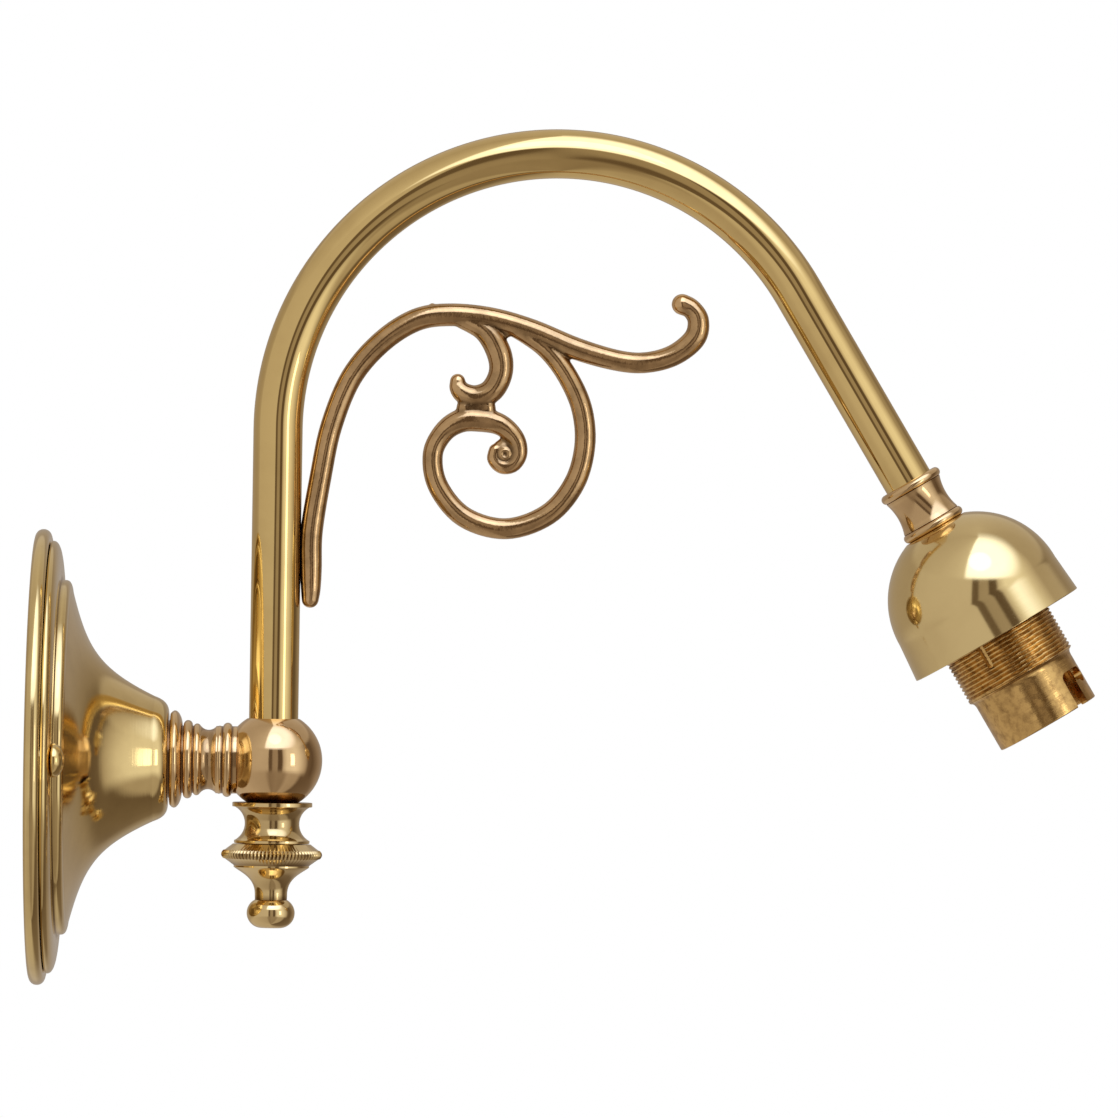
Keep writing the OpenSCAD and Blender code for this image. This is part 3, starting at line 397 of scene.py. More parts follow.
rose_cover = turned("rose_cover_spun", divided(cover_line, 1.2), wall_to_room, "bracket", ["rose_cover"],
                    spun_brass, steps=288)
shank_r = 1.75
cut(rose_cover, [cylinder_cut(shank_r, (3, s * cover_screw_r, 0), (8, s * cover_screw_r, 0))
                 for s in (-1, 1)])

# Cover screws
# Two brass screws with high domed heads, one at each side of the rose. The slot runs up and down.
# They hold the cover against the bosses of the back plate.
screw_brass = brass("screw_brass", 0.2, Metal=(0.82, 0.62, 0.27, 1), Tarnish=(0.28, 0.15, 0.05, 1),
                    Clouding=0.3, Groove_Dirt=0.8, Smooth=0.06, Rough=0.24, Turning_Marks=0.3, Pitting=0.1)


def joined(name, objects):
    """One object made of several."""
    whole = bmesh.new()
    for one in objects:
        whole.from_mesh(one.data)
    mesh = bpy.data.meshes.new(name)
    whole.to_mesh(mesh)
    whole.free()
    for one in objects:
        bpy.data.objects.remove(one)
    return placed(name, mesh)


def block_cut(low, high):
    """A plain block object in mm between two corners, for a cut."""
    corners = [(MM * x, MM * y, MM * z)
               for x in (low[0], high[0]) for y in (low[1], high[1]) for z in (low[2], high[2])]
    faces = [(0, 1, 3, 2), (4, 6, 7, 5), (0, 4, 5, 1), (2, 3, 7, 6), (0, 2, 6, 4), (1, 5, 7, 3)]
    return mesh_object("cutter", corners, faces)


head_r, head_x, head_h, under_head, slot_half, slot_depth = 4.1, 5.9, 3.8, 0.9, 0.4, 1.2
widest, head_top = head_x + under_head, head_x + head_h
screws = []
for side in (-1, 1):
    screw_at = Matrix.Translation((0, side * cover_screw_r, 0)) @ wall_to_room
    head = [(head_r * c, widest + (head_top - widest if n > 0 else under_head) * n)
            for c, n in arc(0, 0, 1, -60, 90, 26)]
    screw = loose("screw", [(0, plate_web), (shank_r, plate_web), (shank_r, head_x)] + head, screw_at, 72)
    cut(screw, [block_cut((head_top - slot_depth, side * cover_screw_r - slot_half, -5),
                          (head_top + 1, side * cover_screw_r + slot_half, 5))])
    screws.append(screw)
cover_screws = joined("cover_screws_turned", screws)
finish_piece(cover_screws, "bracket", ["cover_screws"], screw_brass)

# Neck
# Turned from a redder brass, with a big ring against the rose, two smaller rings, a waist and a last
# ring before the ball. The hollow nipple inside pulls it tight.
red_brass = brass("red_brass", 0.25, Metal=(0.80, 0.56, 0.29, 1), Tarnish=(0.20, 0.10, 0.04, 1),
                  Clouding=0.25, Groove_Dirt=0.95, Smooth=0.04, Rough=0.2, Turning_Marks=0.4, Pitting=0.05)
neck_core_r, neck_end, ball_r, arm_x = 8.2, 19.4, 12.0, 58.5
neck_beads = [(8.45, 4.75, 1.1), (7.85, 6.95, 0.9), (7.5, 12.45, 0.8), (7.9, 14.4, 1.15)]
waist_r, waist_h, waist_core_r = 2.375, 9.75, 7.25
waist_c = waist_core_r + waist_r
recess_r, recess_h, ring_r, ring_h, ring_foot_r, ring_end = 9.4, 0.4, 11.85, 1.5, 9.0, 3.3


def neck_radius(h):
    """The neck's radius at a height over the nose, and the ball's there, in mm."""
    radius = neck_core_r
    if h < recess_h:
        radius = recess_r
    elif h < ring_h:
        radius = ring_r - 0.8 * ((ring_h - h) / (ring_h - recess_h)) ** 2
    elif h < ring_end:
        fall = (1 - ((h - ring_h) / (ring_end - ring_h)) ** 2) ** 0.7
        radius = max(radius, ring_foot_r + (ring_r - ring_foot_r) * fall)
    for centre, at, bead in neck_beads:
        if abs(h - at) <= bead:
            radius = max(radius, centre + math.sqrt(bead ** 2 - (h - at) ** 2))
    if abs(h - waist_h) < waist_r:
        radius = min(radius, waist_c - math.sqrt(waist_r ** 2 - (h - waist_h) ** 2))
    reach = ball_r ** 2 - (nose_x + h - arm_x) ** 2
    return radius, math.sqrt(reach) if reach > 0 else 0.0


outside, inside = [], []
for i in range(401):
    h = neck_end * i / 400
    outer, ball = neck_radius(h)
    if ball < outer:
        outside.append((outer, h))
        inside.append((max(nipple_r, ball), h))
neck_line = outside + inside[::-1]
neck_at = Matrix.Translation((nose_x, 0, 0)) @ wall_to_room
neck = turned("neck_turned", neck_line, neck_at, "bracket", ["neck"], red_brass)


def per_vertex(mesh, what):
    """Three numbers for each vertex: its place, "co", or its "normal"."""
    values = np.empty(len(mesh.vertices) * 3)
    mesh.vertices.foreach_get(what, values)
    return values.reshape(-1, 3)


def joint_grime_and_shade(piece, axis, clean, dirty):
    """Darker metal in a joint, as grime and painted shade: it fades in along one axis between two places in
    mm.
    """
    groove = piece.data.attributes["groove"]
    depth = np.empty(len(piece.data.vertices), dtype=np.float32)
    groove.data.foreach_get("value", depth)
    share = np.clip((per_vertex(piece.data, "co")[:, axis] / MM - clean) / (dirty - clean), 0, 1)
    groove.data.foreach_set("value", np.maximum(depth, share).astype(np.float32))


# Grime and painted shade where the neck meets the rose's nose
joint_grime_and_shade(neck, 0, nose_x + 0.7, nose_x + 0.3)

# Ball elbow
# A brass ball with a flat above for the tube and one below for the finial, bored three ways.
# The neck's hollow nipple enters it from the wall's side.
flat_h = 10.2
flat_angle = math.degrees(math.asin(flat_h / ball_r))
ball_line = [(nipple_r, -flat_h)] + arc(0, 0, ball_r, -flat_angle, flat_angle, 96) + [(nipple_r, flat_h)]
ball_at = Matrix.Translation((arm_x, 0, 0))
ball_elbow = turned("ball_turned", ball_line, ball_at, "bracket", ["ball_elbow"], red_brass)
cut(ball_elbow, [cylinder_cut(nipple_r, (arm_x, 0, 0), (arm_x - ball_r - 2, 0, 0))])
# Grime and painted shade low on the ball, where the finial's spool sits
joint_grime_and_shade(ball_elbow, 2, -8.2, -9.8)

# Finial
# Two turned pieces screwed to the ball's underside: a spool, and a finial with a straight-knurled
# disc, an ogee and a button end.
bright_brass = brass("bright_brass", 0.2, Metal=(0.83, 0.63, 0.31, 1), Tarnish=(0.24, 0.14, 0.05, 1),
                     Clouding=0.2, Groove_Dirt=0.85, Smooth=0.04, Rough=0.2, Turning_Marks=0.4, Pitting=0.04)
down = Matrix.Translation((arm_x, 0, -flat_h)) @ Matrix.Rotation(math.pi, 4, "X")
spool_l, lip_r, lip_h, spool_waist_r = 10.0, 9.2, 0.7, 6.65
top_r, top_h, edge = 9.55, 1.1, 0.2
scotia_w = spool_l - top_h - lip_h
sag = lip_r - spool_waist_r
scotia_r = ((scotia_w / 2) ** 2 + sag ** 2) / (2 * sag)
half = math.degrees(math.asin(scotia_w / 2 / scotia_r))
spool_line = ([(nipple_r, 0), (top_r, 0)] + arc(top_r, edge, edge, -90, 0, 3)
              + arc(top_r, top_h - edge, edge, 0, 90, 3)
              + arc(spool_waist_r + scotia_r, top_h + scotia_w / 2, scotia_r, 180 + half, 180 - half, 40)
              + [(lip_r, spool_l - 0.5)] + arc(lip_r - edge, spool_l - edge, edge, 0, 90, 3)
              + [(nipple_r, spool_l)])
finial_spool = turned("finial_spool_turned", spool_line, down, "bracket", ["finial_spool"],
                      bright_brass)
# Grime and painted shade at the spool's top, against the ball
joint_grime_and_shade(finial_spool, 2, -flat_h - 0.15, -flat_h - 0.02)

knurl_r, knurl_depth, knurl_teeth, knurl_z, knurl_h = 12.3, 0.45, 78, 11.7, 2.0
stud_r, stud_top, finial_l = 4.95, -5.7, 20.6
ledge_z, button_r, button_core, button_neck = 15.3, 3.65, 2.2, 3.95
button_z = spool_l + finial_l - button_r
finial_line = ([(0, stud_top), (stud_r, stud_top), (stud_r, spool_l), (9.5, spool_l + 0.15),
                (knurl_r - 0.9, knurl_z - 0.1)]
               + [(knurl_r - 0.5 * t ** 2, knurl_z + knurl_h * (0.5 + 0.5 * t))
                  for t in np.linspace(-1, 1, 13)]
               + [(knurl_r - 0.9, knurl_z + knurl_h + 0.1), (lip_r + 0.1, ledge_z), (lip_r, ledge_z + 0.1)]
               + bow((lip_r, ledge_z + 0.5), (0.8 * lip_r, ledge_z + 1.9), (button_neck, ledge_z + 3.1),
                     (button_neck, ledge_z + 7.1), 40)
               + arc(button_core, button_z, button_r, -62, 90, 40) + [(0, button_z + button_r)])


def knurled(r, h, angle):
    """The finial's radius with the knurl's teeth cut in its disc."""
    if r < knurl_r - 0.6 or not knurl_z - 0.05 < h < knurl_z + knurl_h + 0.05:
        return r
    phase = angle * knurl_teeth / (2 * math.pi) % 1.0
    return r - knurl_depth * abs(2 * phase - 1) ** 1.3


turned("finial_turned", finial_line, down, "bracket", ["finial"], bright_brass,
       steps=knurl_teeth * 6, radius_at=knurled)

# Swan neck
# Brass tube, polished along its length: a straight riser, a long bend and a straight leg.
# Hollow nipples hold it in the ball and in the collar.
tube_brass = brass("tube_brass", 0.15, Metal=(0.80, 0.59, 0.25, 1), Tarnish=(0.34, 0.19, 0.06, 1),
                   Clouding=0.2, Groove_Dirt=0.0, Smooth=0.035, Rough=0.14, Turning_Marks=0.15, Pitting=0.03)
bend_r, bend_z, tilt, leg_l, tube_r, tube_in_r = 68.0, 80.8, math.radians(31), 53.2, 6.0, 5.0
bend_x = arm_x + bend_r
lamp_dir = Vector((math.sin(tilt), 0, -math.cos(tilt)))
leg_start = Vector((bend_x + bend_r * math.cos(tilt), 0, bend_z + bend_r * math.sin(tilt)))
path = [(Vector((arm_x, 0, z)), Vector((1, 0, 0))) for z in np.linspace(flat_h, bend_z, 24)[:-1]]
for a in np.linspace(math.pi, tilt, 120):
    out = Vector((math.cos(a), 0, math.sin(a)))
    path.append((Vector((bend_x, 0, bend_z)) + bend_r * out, -out))
leg_side = Vector((-math.cos(tilt), 0, -math.sin(tilt)))
path += [(leg_start + lamp_dir * l, leg_side) for l in np.linspace(0, leg_l, 18)[1:]]


def swept(name, path, outer_r, inner_r):
    """A tube object along a path of points with their side directions."""
    steps = 96
    girth = 2 * math.pi * outer_r * MM
    vertices, lengths, run = [], [], 0.0
    for i, (point, side) in enumerate(path):
        run += (point - path[i - 1][0]).length if i else 0.0
        lengths.append(run)
        for radius in (outer_r, inner_r):
            for k in range(steps):
                a = 2 * math.pi * k / steps
                offset = side * (radius * math.cos(a)) + Vector((0, radius * math.sin(a), 0))
                vertices.append((point + offset) * MM)
    faces, uv = [], []
    ring = 2 * steps
    for i in range(len(path) - 1):
        for k in range(steps):
            n = (k + 1) % steps
            a, b = i * ring, (i + 1) * ring
            faces.append((a + k, a + n, b + n, b + k))
            # The second coordinate runs round the tube, so that the polishing streaks run along it
            round0, round1 = k * girth / steps, (k + 1) * girth / steps
            uv += [(lengths[i] * MM, round0), (lengths[i] * MM, round1),
                   (lengths[i + 1] * MM, round1), (lengths[i + 1] * MM, round0)]
            a, b = a + steps, b + steps
            faces.append((a + n, a + k, b + k, b + n))
            uv += [(0, 0)] * 4
    last = (len(path) - 1) * ring
    for k in range(steps):
        n = (k + 1) % steps
        faces.append((n, k, k + steps, n + steps))
        faces.append((last + k, last + n, last + n + steps, last + k + steps))
        uv += [(0, 0)] * 8
    return mesh_object(name, vertices, faces, uv)


swan_neck = swept("swan_neck_tube", path, tube_r, tube_in_r)
finish_piece(swan_neck, "bracket", ["swan_neck"], tube_brass)

# Scroll
# One brass casting, bronzed and lacquered: a long stem brazed to the riser, a hooked side shoot, and a
# loop that winds into a spiral eye. Its branches melt into each other, so it is remeshed and eased.
cast_brass = brass("cast_brass", 0.5, Metal=(0.76, 0.50, 0.25, 1), Tarnish=(0.11, 0.06, 0.025, 1),
                   Clouding=0.3, Cloud_Scale=260.0, Groove_Dirt=0.95, Smooth=0.045, Rough=0.2,
                   Turning_Marks=0.0, Pitting=1.0)
stem_r, sunk = 2.65, 0.3
scroll_x = arm_x + tube_r + stem_r - sunk
# Points of each branch as x from the stem's foot, z, and share of the stem's thickness
main_stem = [(0.1, 39.4, 0.8), (0.2, 42, 0.92), (0.15, 47, 1.02), (0.2, 56, 1.04), (2.2, 69.4, 1.02),
             (4.6, 81.6, 1.02), (9.3, 93.6, 1.02), (16.5, 102.3, 1.04), (24.8, 107.8, 1.06), (33, 109.2, 1.06),
             (43, 108.4, 1.06), (53, 105.7, 1.06), (64, 101.4, 1.04), (74, 98.7, 0.98), (81, 98.3, 0.97),
             (87.7, 100.2, 1), (92.7, 104.3, 1.04), (93.6, 108.6, 1), (91.9, 111.5, 0.94), (89.6, 112.6, 0.98)]
hook_stem = [(36, 108.3, 0.9), (41.6, 105.6, 1.08), (45, 100.5, 1.16), (45.7, 95.5, 1.12), (43.6, 91, 1.12),
             (40, 89.4, 1.06), (37, 90, 1), (35.5, 91.5, 0.88), (35.2, 93, 0.72)]
loop_stem = [(45, 108, 0.8), (51, 105.2, 0.9), (57, 101, 0.94), (62, 94.6, 0.96), (65.6, 86.6, 0.98),
             (66.4, 77.6, 0.98), (63.9, 68.4, 1), (57.6, 60.9, 1), (47.5, 57.3, 0.98), (37.3, 60, 0.98),
             (30.9, 67.3, 0.96), (29.4, 75, 0.94), (31.9, 80.5, 0.98), (36, 83.4, 1.1), (40.6, 83.8, 1.14),
             (45.8, 82.6, 1), (49.4, 79.4, 0.88), (50.4, 75.8, 0.8), (49, 73.1, 0.76), (46.4, 72.5, 0.72),
             (44.4, 74.2, 0.66), (44.6, 76.4, 0.6)]
knot = [(37.2, 86.6, 0.84), (42.4, 86.6, 0.84)]
webs = [[(41.5, 106.4, 0.6), (47, 105.4, 0.6)], [(57.8, 101.6, 0.6), (60.6, 101.5, 0.6)]]
sprue = [(28.4, 110.9, 0.3), (28.7, 111.6, 0.2)]
# Balls as x, z, radius and depth along Y in mm: the spiral's floor, and the pip in its middle
eye = (47.0, 75.5)
eye_balls = [(47.3, 75.6, 3.9, 1.6), (*eye, 1.75, 2.5)]


def smooth_line(points, steps):
    """A smooth line through the points, the same as the casting's centre lines in the solid."""
    line = []
    for i in range(len(points) - 1):
        a, b = points[max(i - 1, 0)], points[i]
        c, d = points[i + 1], points[min(i + 2, len(points) - 1)]
        for j in range(steps):
            t = j / steps
            line.append(tuple(0.5 * (2 * b[k] + (c[k] - a[k]) * t
                                     + (2 * a[k] - 5 * b[k] + 4 * c[k] - d[k]) * t * t
                                     + (3 * b[k] - a[k] - 3 * c[k] + d[k]) * t ** 3) for k in range(3)))
    return line + [points[-1]]


def stem_shell(bm, points, steps=7, sides=28):
    """A closed round stem with ball ends, added to the mesh bm. Points are x, z and share of thickness."""
    line = smooth_line(points, steps)
    centre = [Vector((scroll_x + p[0], 0, p[1])) for p in line]
    radius = [p[2] * stem_r for p in line]
    rings = []
    count = len(line)
    for i in range(count):
        along = (centre[min(i + 1, count - 1)] - centre[max(i - 1, 0)]).normalized()
        side = Vector((0, 1, 0)).cross(along)
        rings.append((centre[i], along, side, radius[i]))
    caps = 7
    start = [(rings[0][0] - rings[0][1] * rings[0][3] * math.sin(a), rings[0][1], rings[0][2],
              rings[0][3] * math.cos(a)) for a in np.linspace(math.pi / 2, 0, caps + 1)[1:-1]]
    end = [(rings[-1][0] + rings[-1][1] * rings[-1][3] * math.sin(a), rings[-1][1], rings[-1][2],
            rings[-1][3] * math.cos(a)) for a in np.linspace(0, math.pi / 2, caps + 1)[1:-1]]
    first = bm.verts.new((rings[0][0] - rings[0][1] * rings[0][3]) * MM)
    last = bm.verts.new((rings[-1][0] + rings[-1][1] * rings[-1][3]) * MM)
    loops = []
    for point, _, side, r in start + rings + end:
        loops.append([bm.verts.new((point + side * (r * math.cos(2 * math.pi * k / sides))
                                    + Vector((0, r * math.sin(2 * math.pi * k / sides), 0))) * MM)
                      for k in range(sides)])
    for k in range(sides):
        n = (k + 1) % sides
        bm.faces.new((first, loops[0][k], loops[0][n]))
        bm.faces.new((last, loops[-1][n], loops[-1][k]))
        for a, b in zip(loops, loops[1:]):
            bm.faces.new((a[k], b[k], b[n], a[n]))


casting = bmesh.new()
for stem in [main_stem, hook_stem, loop_stem, knot, sprue] + webs:
    stem_shell(casting, stem)
for x, z, radius, depth in eye_balls:
    at = Matrix.Translation(Vector((scroll_x + x, 0, z)) * MM) @ Matrix.Diagonal((1, depth / radius, 1, 1))
    bmesh.ops.create_icosphere(casting, subdivisions=4, radius=radius * MM, matrix=at)
bmesh.ops.recalc_face_normals(casting, faces=casting.faces)
scroll_mesh = bpy.data.meshes.new("scroll_cast")
casting.to_mesh(scroll_mesh)
casting.free()
scroll = placed("scroll_cast", scroll_mesh)
remesh = scroll.modifiers.new("cast", "REMESH")
remesh.mode = "VOXEL"
remesh.voxel_size = 0.0003
ease = scroll.modifiers.new("ease", "SMOOTH")
ease.factor = 0.5
ease.iterations = 7
bpy.context.view_layer.update()
eased = bpy.data.meshes.new_from_object(scroll.evaluated_get(bpy.context.evaluated_depsgraph_get()))
scroll.modifiers.clear()
scroll.data = eased

spots = per_vertex(eased, "co")
# The tube's wall keeps the casting off, and the eye has a dimple on each face
away = np.hypot(spots[:, 0] - arm_x * MM, spots[:, 1])
keep_off = (tube_r + 0.02) * MM
inside_tube = away < keep_off
push = keep_off / np.maximum(away[inside_tube], 1e-6)
spots[inside_tube, 0] = arm_x * MM + (spots[inside_tube, 0] - arm_x * MM) * push
spots[inside_tube, 1] *= push
from_eye = np.hypot(spots[:, 0] - (scroll_x + eye[0]) * MM, spots[:, 2] - eye[1] * MM)
dimple_r, dimple_depth = 1.3 * MM, 1.1 * MM
dimple = np.clip(1 - from_eye / dimple_r, 0, 1)
spots[:, 1] -= np.sign(spots[:, 1]) * dimple_depth * (3 * dimple ** 2 - 2 * dimple ** 3)
eased.vertices.foreach_set("co", spots.ravel())
# Hollows between the branches and along the tube are darkened: the dark bronzing that collects there, and
# painted shade
edges = np.empty(len(eased.edges) * 2, dtype=np.int64)
eased.edges.foreach_get("vertices", edges)
edges = edges.reshape(-1, 2)
normals = per_vertex(eased, "normal")
neighbours = np.bincount(edges.ravel(), minlength=len(spots)).astype(float)


def averaged(values):
    """Each vertex's value as the mean of its neighbours'."""
    total = np.zeros_like(values)
    np.add.at(total, edges[:, 0], values[edges[:, 1]])
    np.add.at(total, edges[:, 1], values[edges[:, 0]])
    return total / np.maximum(neighbours, 1)[:, None]


spread = spots.copy()
for _ in range(10):
    spread = averaged(spread)
hollow = np.einsum("ij,ij->i", spread - spots, normals)[:, None]
for _ in range(3):
    hollow = averaged(hollow)
hollow = hollow[:, 0]
from_tube, tube_grime_and_shade = np.hypot(spots[:, 0] - arm_x * MM, spots[:, 1]) - tube_r * MM, 1.4 * MM
by_tube = np.clip(1 - from_tube / tube_grime_and_shade, 0, 1)
clean_hollow, full_hollow = -0.12 * MM, 0.13 * MM
set_groove(eased, np.clip((hollow - clean_hollow) / (full_hollow - clean_hollow) + by_tube, 0, 1))
finish_piece(scroll, "bracket", ["scroll"], cast_brass, corner=80)

# Collar
# A turned collar of the redder brass at the end of the tube, with a bead at each end.
# The hollow nipple that carries the lampholder runs through it.
leg_turn = Matrix.Rotation(math.pi - tilt, 4, "Y")
collar_at = Matrix.Translation(leg_start + lamp_dir * leg_l) @ leg_turn
collar_l, bead_r, bead_w, waist, hollow_sag = 13.2, 8.05, 1.15, 6.7, 0.75
hollow_w = collar_l - 4 * bead_w
hollow_r = ((hollow_w / 2) ** 2 + hollow_sag ** 2) / (2 * hollow_sag)
half = math.degrees(math.asin(hollow_w / 2 / hollow_r))
collar_line = ([(nipple_r, 0), (bead_r - bead_w, 0)] + arc(bead_r - bead_w, bead_w, bead_w, -90, 72, 16)
               + arc(waist + hollow_r, collar_l / 2, hollow_r, 180 + half, 180 - half, 40)
               + arc(bead_r - bead_w, collar_l - bead_w, bead_w, -72, 90, 16) + [(nipple_r, collar_l)])
turned("tube_collar_turned", collar_line, collar_at, "bracket", ["tube_collar"], red_brass)

# Cup cover
# Spun from thin brass to a dome with a short, slightly flared skirt, and polished to a soft sheen.
# It is held between the collar and the lampholder's cap.
cup_brass = brass("cup_brass", 0.15, Metal=(0.82, 0.64, 0.31, 1), Tarnish=(0.36, 0.22, 0.08, 1),
                  Clouding=0.15, Groove_Dirt=0.0, Smooth=0.08, Rough=0.19, Turning_Marks=0.35, Pitting=0.03)
cup_at = Matrix.Translation(leg_start + lamp_dir * (leg_l + collar_l)) @ leg_turn
dome, rim_r, cup_l, cup_wall, seat_r = 21.8, 22.6, 29.8, 0.9, 8.05
dome_z = math.sqrt(dome ** 2 - seat_r ** 2)
seat_angle = math.degrees(math.atan2(-dome_z, seat_r))
inner = dome - cup_wall
inner_angle = math.degrees(math.asin((cup_wall - dome_z) / inner))
cup_line = ([(nipple_r, 0), (seat_r, 0)] + arc(0, dome_z, dome, seat_angle, 0, 80)
            + [(rim_r, cup_l - 0.15)] + arc(rim_r - 0.2, cup_l - 0.2, 0.2, 0, 90, 3)
            + arc(rim_r - cup_wall + 0.2, cup_l - 0.2, 0.2, 90, 180, 3)
            + arc(0, dome_z, inner, 0, inner_angle, 50) + [(nipple_r, cup_wall)])
turned("cup_cover_spun", divided(cup_line, 1.0), cup_at, "bracket", ["cup_cover"], cup_brass,
       steps=256)

# Lampholder barrel
# Turned brass with a dull brown patina: a fine thread for the shade ring, a narrow key slot in it, a
# hollow under it and a plain barrel with two bayonet slots at the mouth.
patina_brass = brass("patina_brass", 0.5, Metal=(0.76, 0.49, 0.18, 1), Tarnish=(0.25, 0.13, 0.045, 1),
                     Clouding=0.7, Cloud_Scale=520.0, Groove_Dirt=0.25, Smooth=0.09, Rough=0.36,
                     Turning_Marks=0.7, Pitting=0.6)
thread_r, barrel_r, bore_r, inner_r = 14.25, 13.2, 11.25, 12.0
holder_top, thread_end, mouth, step_z, groove_z = 18.0, 41.4, 54.8, 45.0, 26.0
pitch, thread_depth, row_h, rows = 1.05, 0.42, 0.07, 193
thread_start, thread_stop = groove_z + 1.5, thread_end - 0.3


def threaded(r, h, angle):
    """The barrel's radius with the shade-ring thread cut in it, fading out at both ends."""
    if r < thread_r - 0.01 or not thread_start <= h <= thread_stop:
        return r
    phase = ((h - thread_start) / pitch - angle / (2 * math.pi)) % 1.0
    fade = min(1.0, (h - thread_start) / 0.4, (thread_stop - h) / 0.4)
    return r - thread_depth * fade * min(1.0, max(0.0, 1.4 * abs(2 * phase - 1) - 0.4))


barrel_line = ([(inner_r, holder_top), (thread_r - 0.5, holder_top), (thread_r, holder_top + 0.5),
                (thread_r, groove_z), (thread_r - 0.35, groove_z + 0.35), (thread_r - 0.35, groove_z + 1.15),
                (thread_r, thread_start)]
               + [(thread_r, thread_start + row_h * i) for i in range(1, rows + 1)]
               + [(thread_r, thread_stop), (thread_r - 0.3, thread_end)]
               + bow((thread_r - 0.3, thread_end), (thread_r - 0.75, thread_end + 0.1),
                     (barrel_r, thread_end + 0.7), (barrel_r, thread_end + 1.5), 12)
               + [(barrel_r, mouth - 0.35)] + arc(barrel_r - 0.35, mouth - 0.35, 0.35, 0, 90, 5)
               + [(bore_r + 0.2, mouth), (bore_r, mouth - 0.2), (bore_r, step_z), (inner_r, step_z)])
barrel = turned("holder_barrel_turned", barrel_line, cup_at, "bracket", ["holder_barrel"],
                patina_brass, steps=288, radius_at=threaded)


def around(angle, radius, h):
    """A point at an angle round the lamp axis, counted from the side that faces -Y."""
    a = math.radians(-90 - angle)
    return cup_at @ Vector((radius * math.cos(a), radius * math.sin(a), h))


def wall_cut(outline, inner_r, outer_r):
    """A cutter from an outline of (arc length at the barrel's outside, height), wrapped round the axis."""
    vertices = [around(math.degrees(s / barrel_r), r, h) * MM for r in (inner_r, outer_r) for s, h in outline]
    count = len(outline)
    faces = [tuple(range(count))[::-1], tuple(range(count, 2 * count))]
    faces += [(i, (i + 1) % count, (i + 1) % count + count, i + count) for i in range(count)]
    cutter = mesh_object("cutter", vertices, faces)
    bm = bmesh.new()
    bm.from_mesh(cutter.data)
    bmesh.ops.triangulate(bm, faces=bm.faces)
    bmesh.ops.recalc_face_normals(bm, faces=bm.faces)
    bm.to_mesh(cutter.data)
    bm.free()
    return cutter


slot_w, slot_top, lug_top, hook_turn, seat_back, seat_drop = 2.0, mouth - 9.0, mouth - 5.8, 26, 1, 0.9


def bayonet_cuts(middle):
    """Cutters of one bayonet slot: the entry from the mouth, the turn over the lug and the pin's seat."""
    s0 = math.radians(middle) * barrel_r
    s1 = s0 + math.radians(hook_turn) * barrel_r
    seat_s = s1 - math.radians(seat_back) * barrel_r
    entry = ([(s0 + slot_w, mouth + 1)] + arc(s0, slot_top + slot_w, slot_w, 0, -180, 16)
             + [(s0 - slot_w, mouth + 1)])
    turn = divided([(s0, slot_top), (s1, slot_top), (s1, lug_top), (s0, lug_top), (s0, slot_top)], 0.6)[:-1]
    seat = arc(seat_s, lug_top - slot_w + seat_drop, slot_w, 0, 360, 24)[:-1]
    return [wall_cut(divided(outline, 0.8), bore_r - 2, barrel_r + 3) for outline in (entry, turn, seat)]


slot_angle, key_angle, key_half, key_start, key_end, key_depth = 46, -23, 0.7, 24.5, 35.1, 1.2
key_s = math.radians(key_angle) * barrel_r
key_line = ([(key_s - key_half, key_start), (key_s + key_half, key_start), (key_s + key_half, key_end)]
            + arc(key_s, key_end, key_half, 0, 180, 8)[1:])
cut(barrel, bayonet_cuts(slot_angle) + bayonet_cuts(slot_angle + 180)
    + [wall_cut(divided(key_line, 1.0), thread_r - key_depth, thread_r + 2)])

# Contact plungers
# Two brass plungers with rounded tips, pushed out of the contact block by the springs.
# Each slides in along the lamp axis when a lamp is put in.
plunger_offset, plunger_bearing = 5.5, -72
guide_r, tip_r, guide_start, guide_end, tip_end = 2.4, 1.9, 33.0, 40.0, 45.0
plunger_line = ([(0, guide_start), (guide_r - 0.2, guide_start), (guide_r, guide_start + 0.2),
                 (guide_r, guide_end - 0.2), (guide_r - 0.2, guide_end), (tip_r, guide_end),
                 (tip_r, tip_end - 0.6)]
                + bow((tip_r, tip_end - 0.6), (tip_r, tip_end - 0.2), (tip_r - 0.5, tip_end),
                      (tip_r - 1.2, tip_end), 8)
                + [(0, tip_end)])


def plunger_at(turn):
    """The place of a plunger and its spring beside the lamp axis."""
    about_axis = Matrix.Rotation(math.radians(plunger_bearing + turn), 4, "Z")
    return cup_at @ about_axis @ Matrix.Translation((plunger_offset, 0, 0))


for name, turn in (("plunger_front", 0), ("plunger_rear", 180)):
    turned(name + "_turned", plunger_line, plunger_at(turn), name, [name], bright_brass,
           steps=64)

# Springs
# Zinc-plated wire springs behind the plungers, in the contact block and out of sight.
# Each shortens as its plunger goes in.
zinc = bpy.data.materials.new("zinc_plate")
zinc.use_nodes = True
zinc_tree = zinc.node_tree
zinc_shader = zinc_tree.nodes["Principled BSDF"]
zinc_shader.inputs["Metallic"].default_value = 1.0
zinc_place = zinc_tree.nodes.new("ShaderNodeTexCoord")
zinc_cloud = noise(zinc_tree, zinc_place.outputs["Object"], 420.0, 3.0)
zinc_tree.links.new(mixed(zinc_tree, "RGBA", zinc_cloud, (0.62, 0.63, 0.65, 1), (0.46, 0.47, 0.50, 1)),
                    zinc_shader.inputs["Base Color"])
zinc_tree.links.new(mixed(zinc_tree, "FLOAT", zinc_cloud, 0.2, 0.42), zinc_shader.inputs["Roughness"])
wire_r, coil_gap, coil_start, coil_l, plunger_travel = 0.25, 0.25, 22.1, 10.8, 3.5
coil_r = guide_r - wire_r - coil_gap
coils, per_turn, sides = 6, 20, 8
rings = coils * per_turn
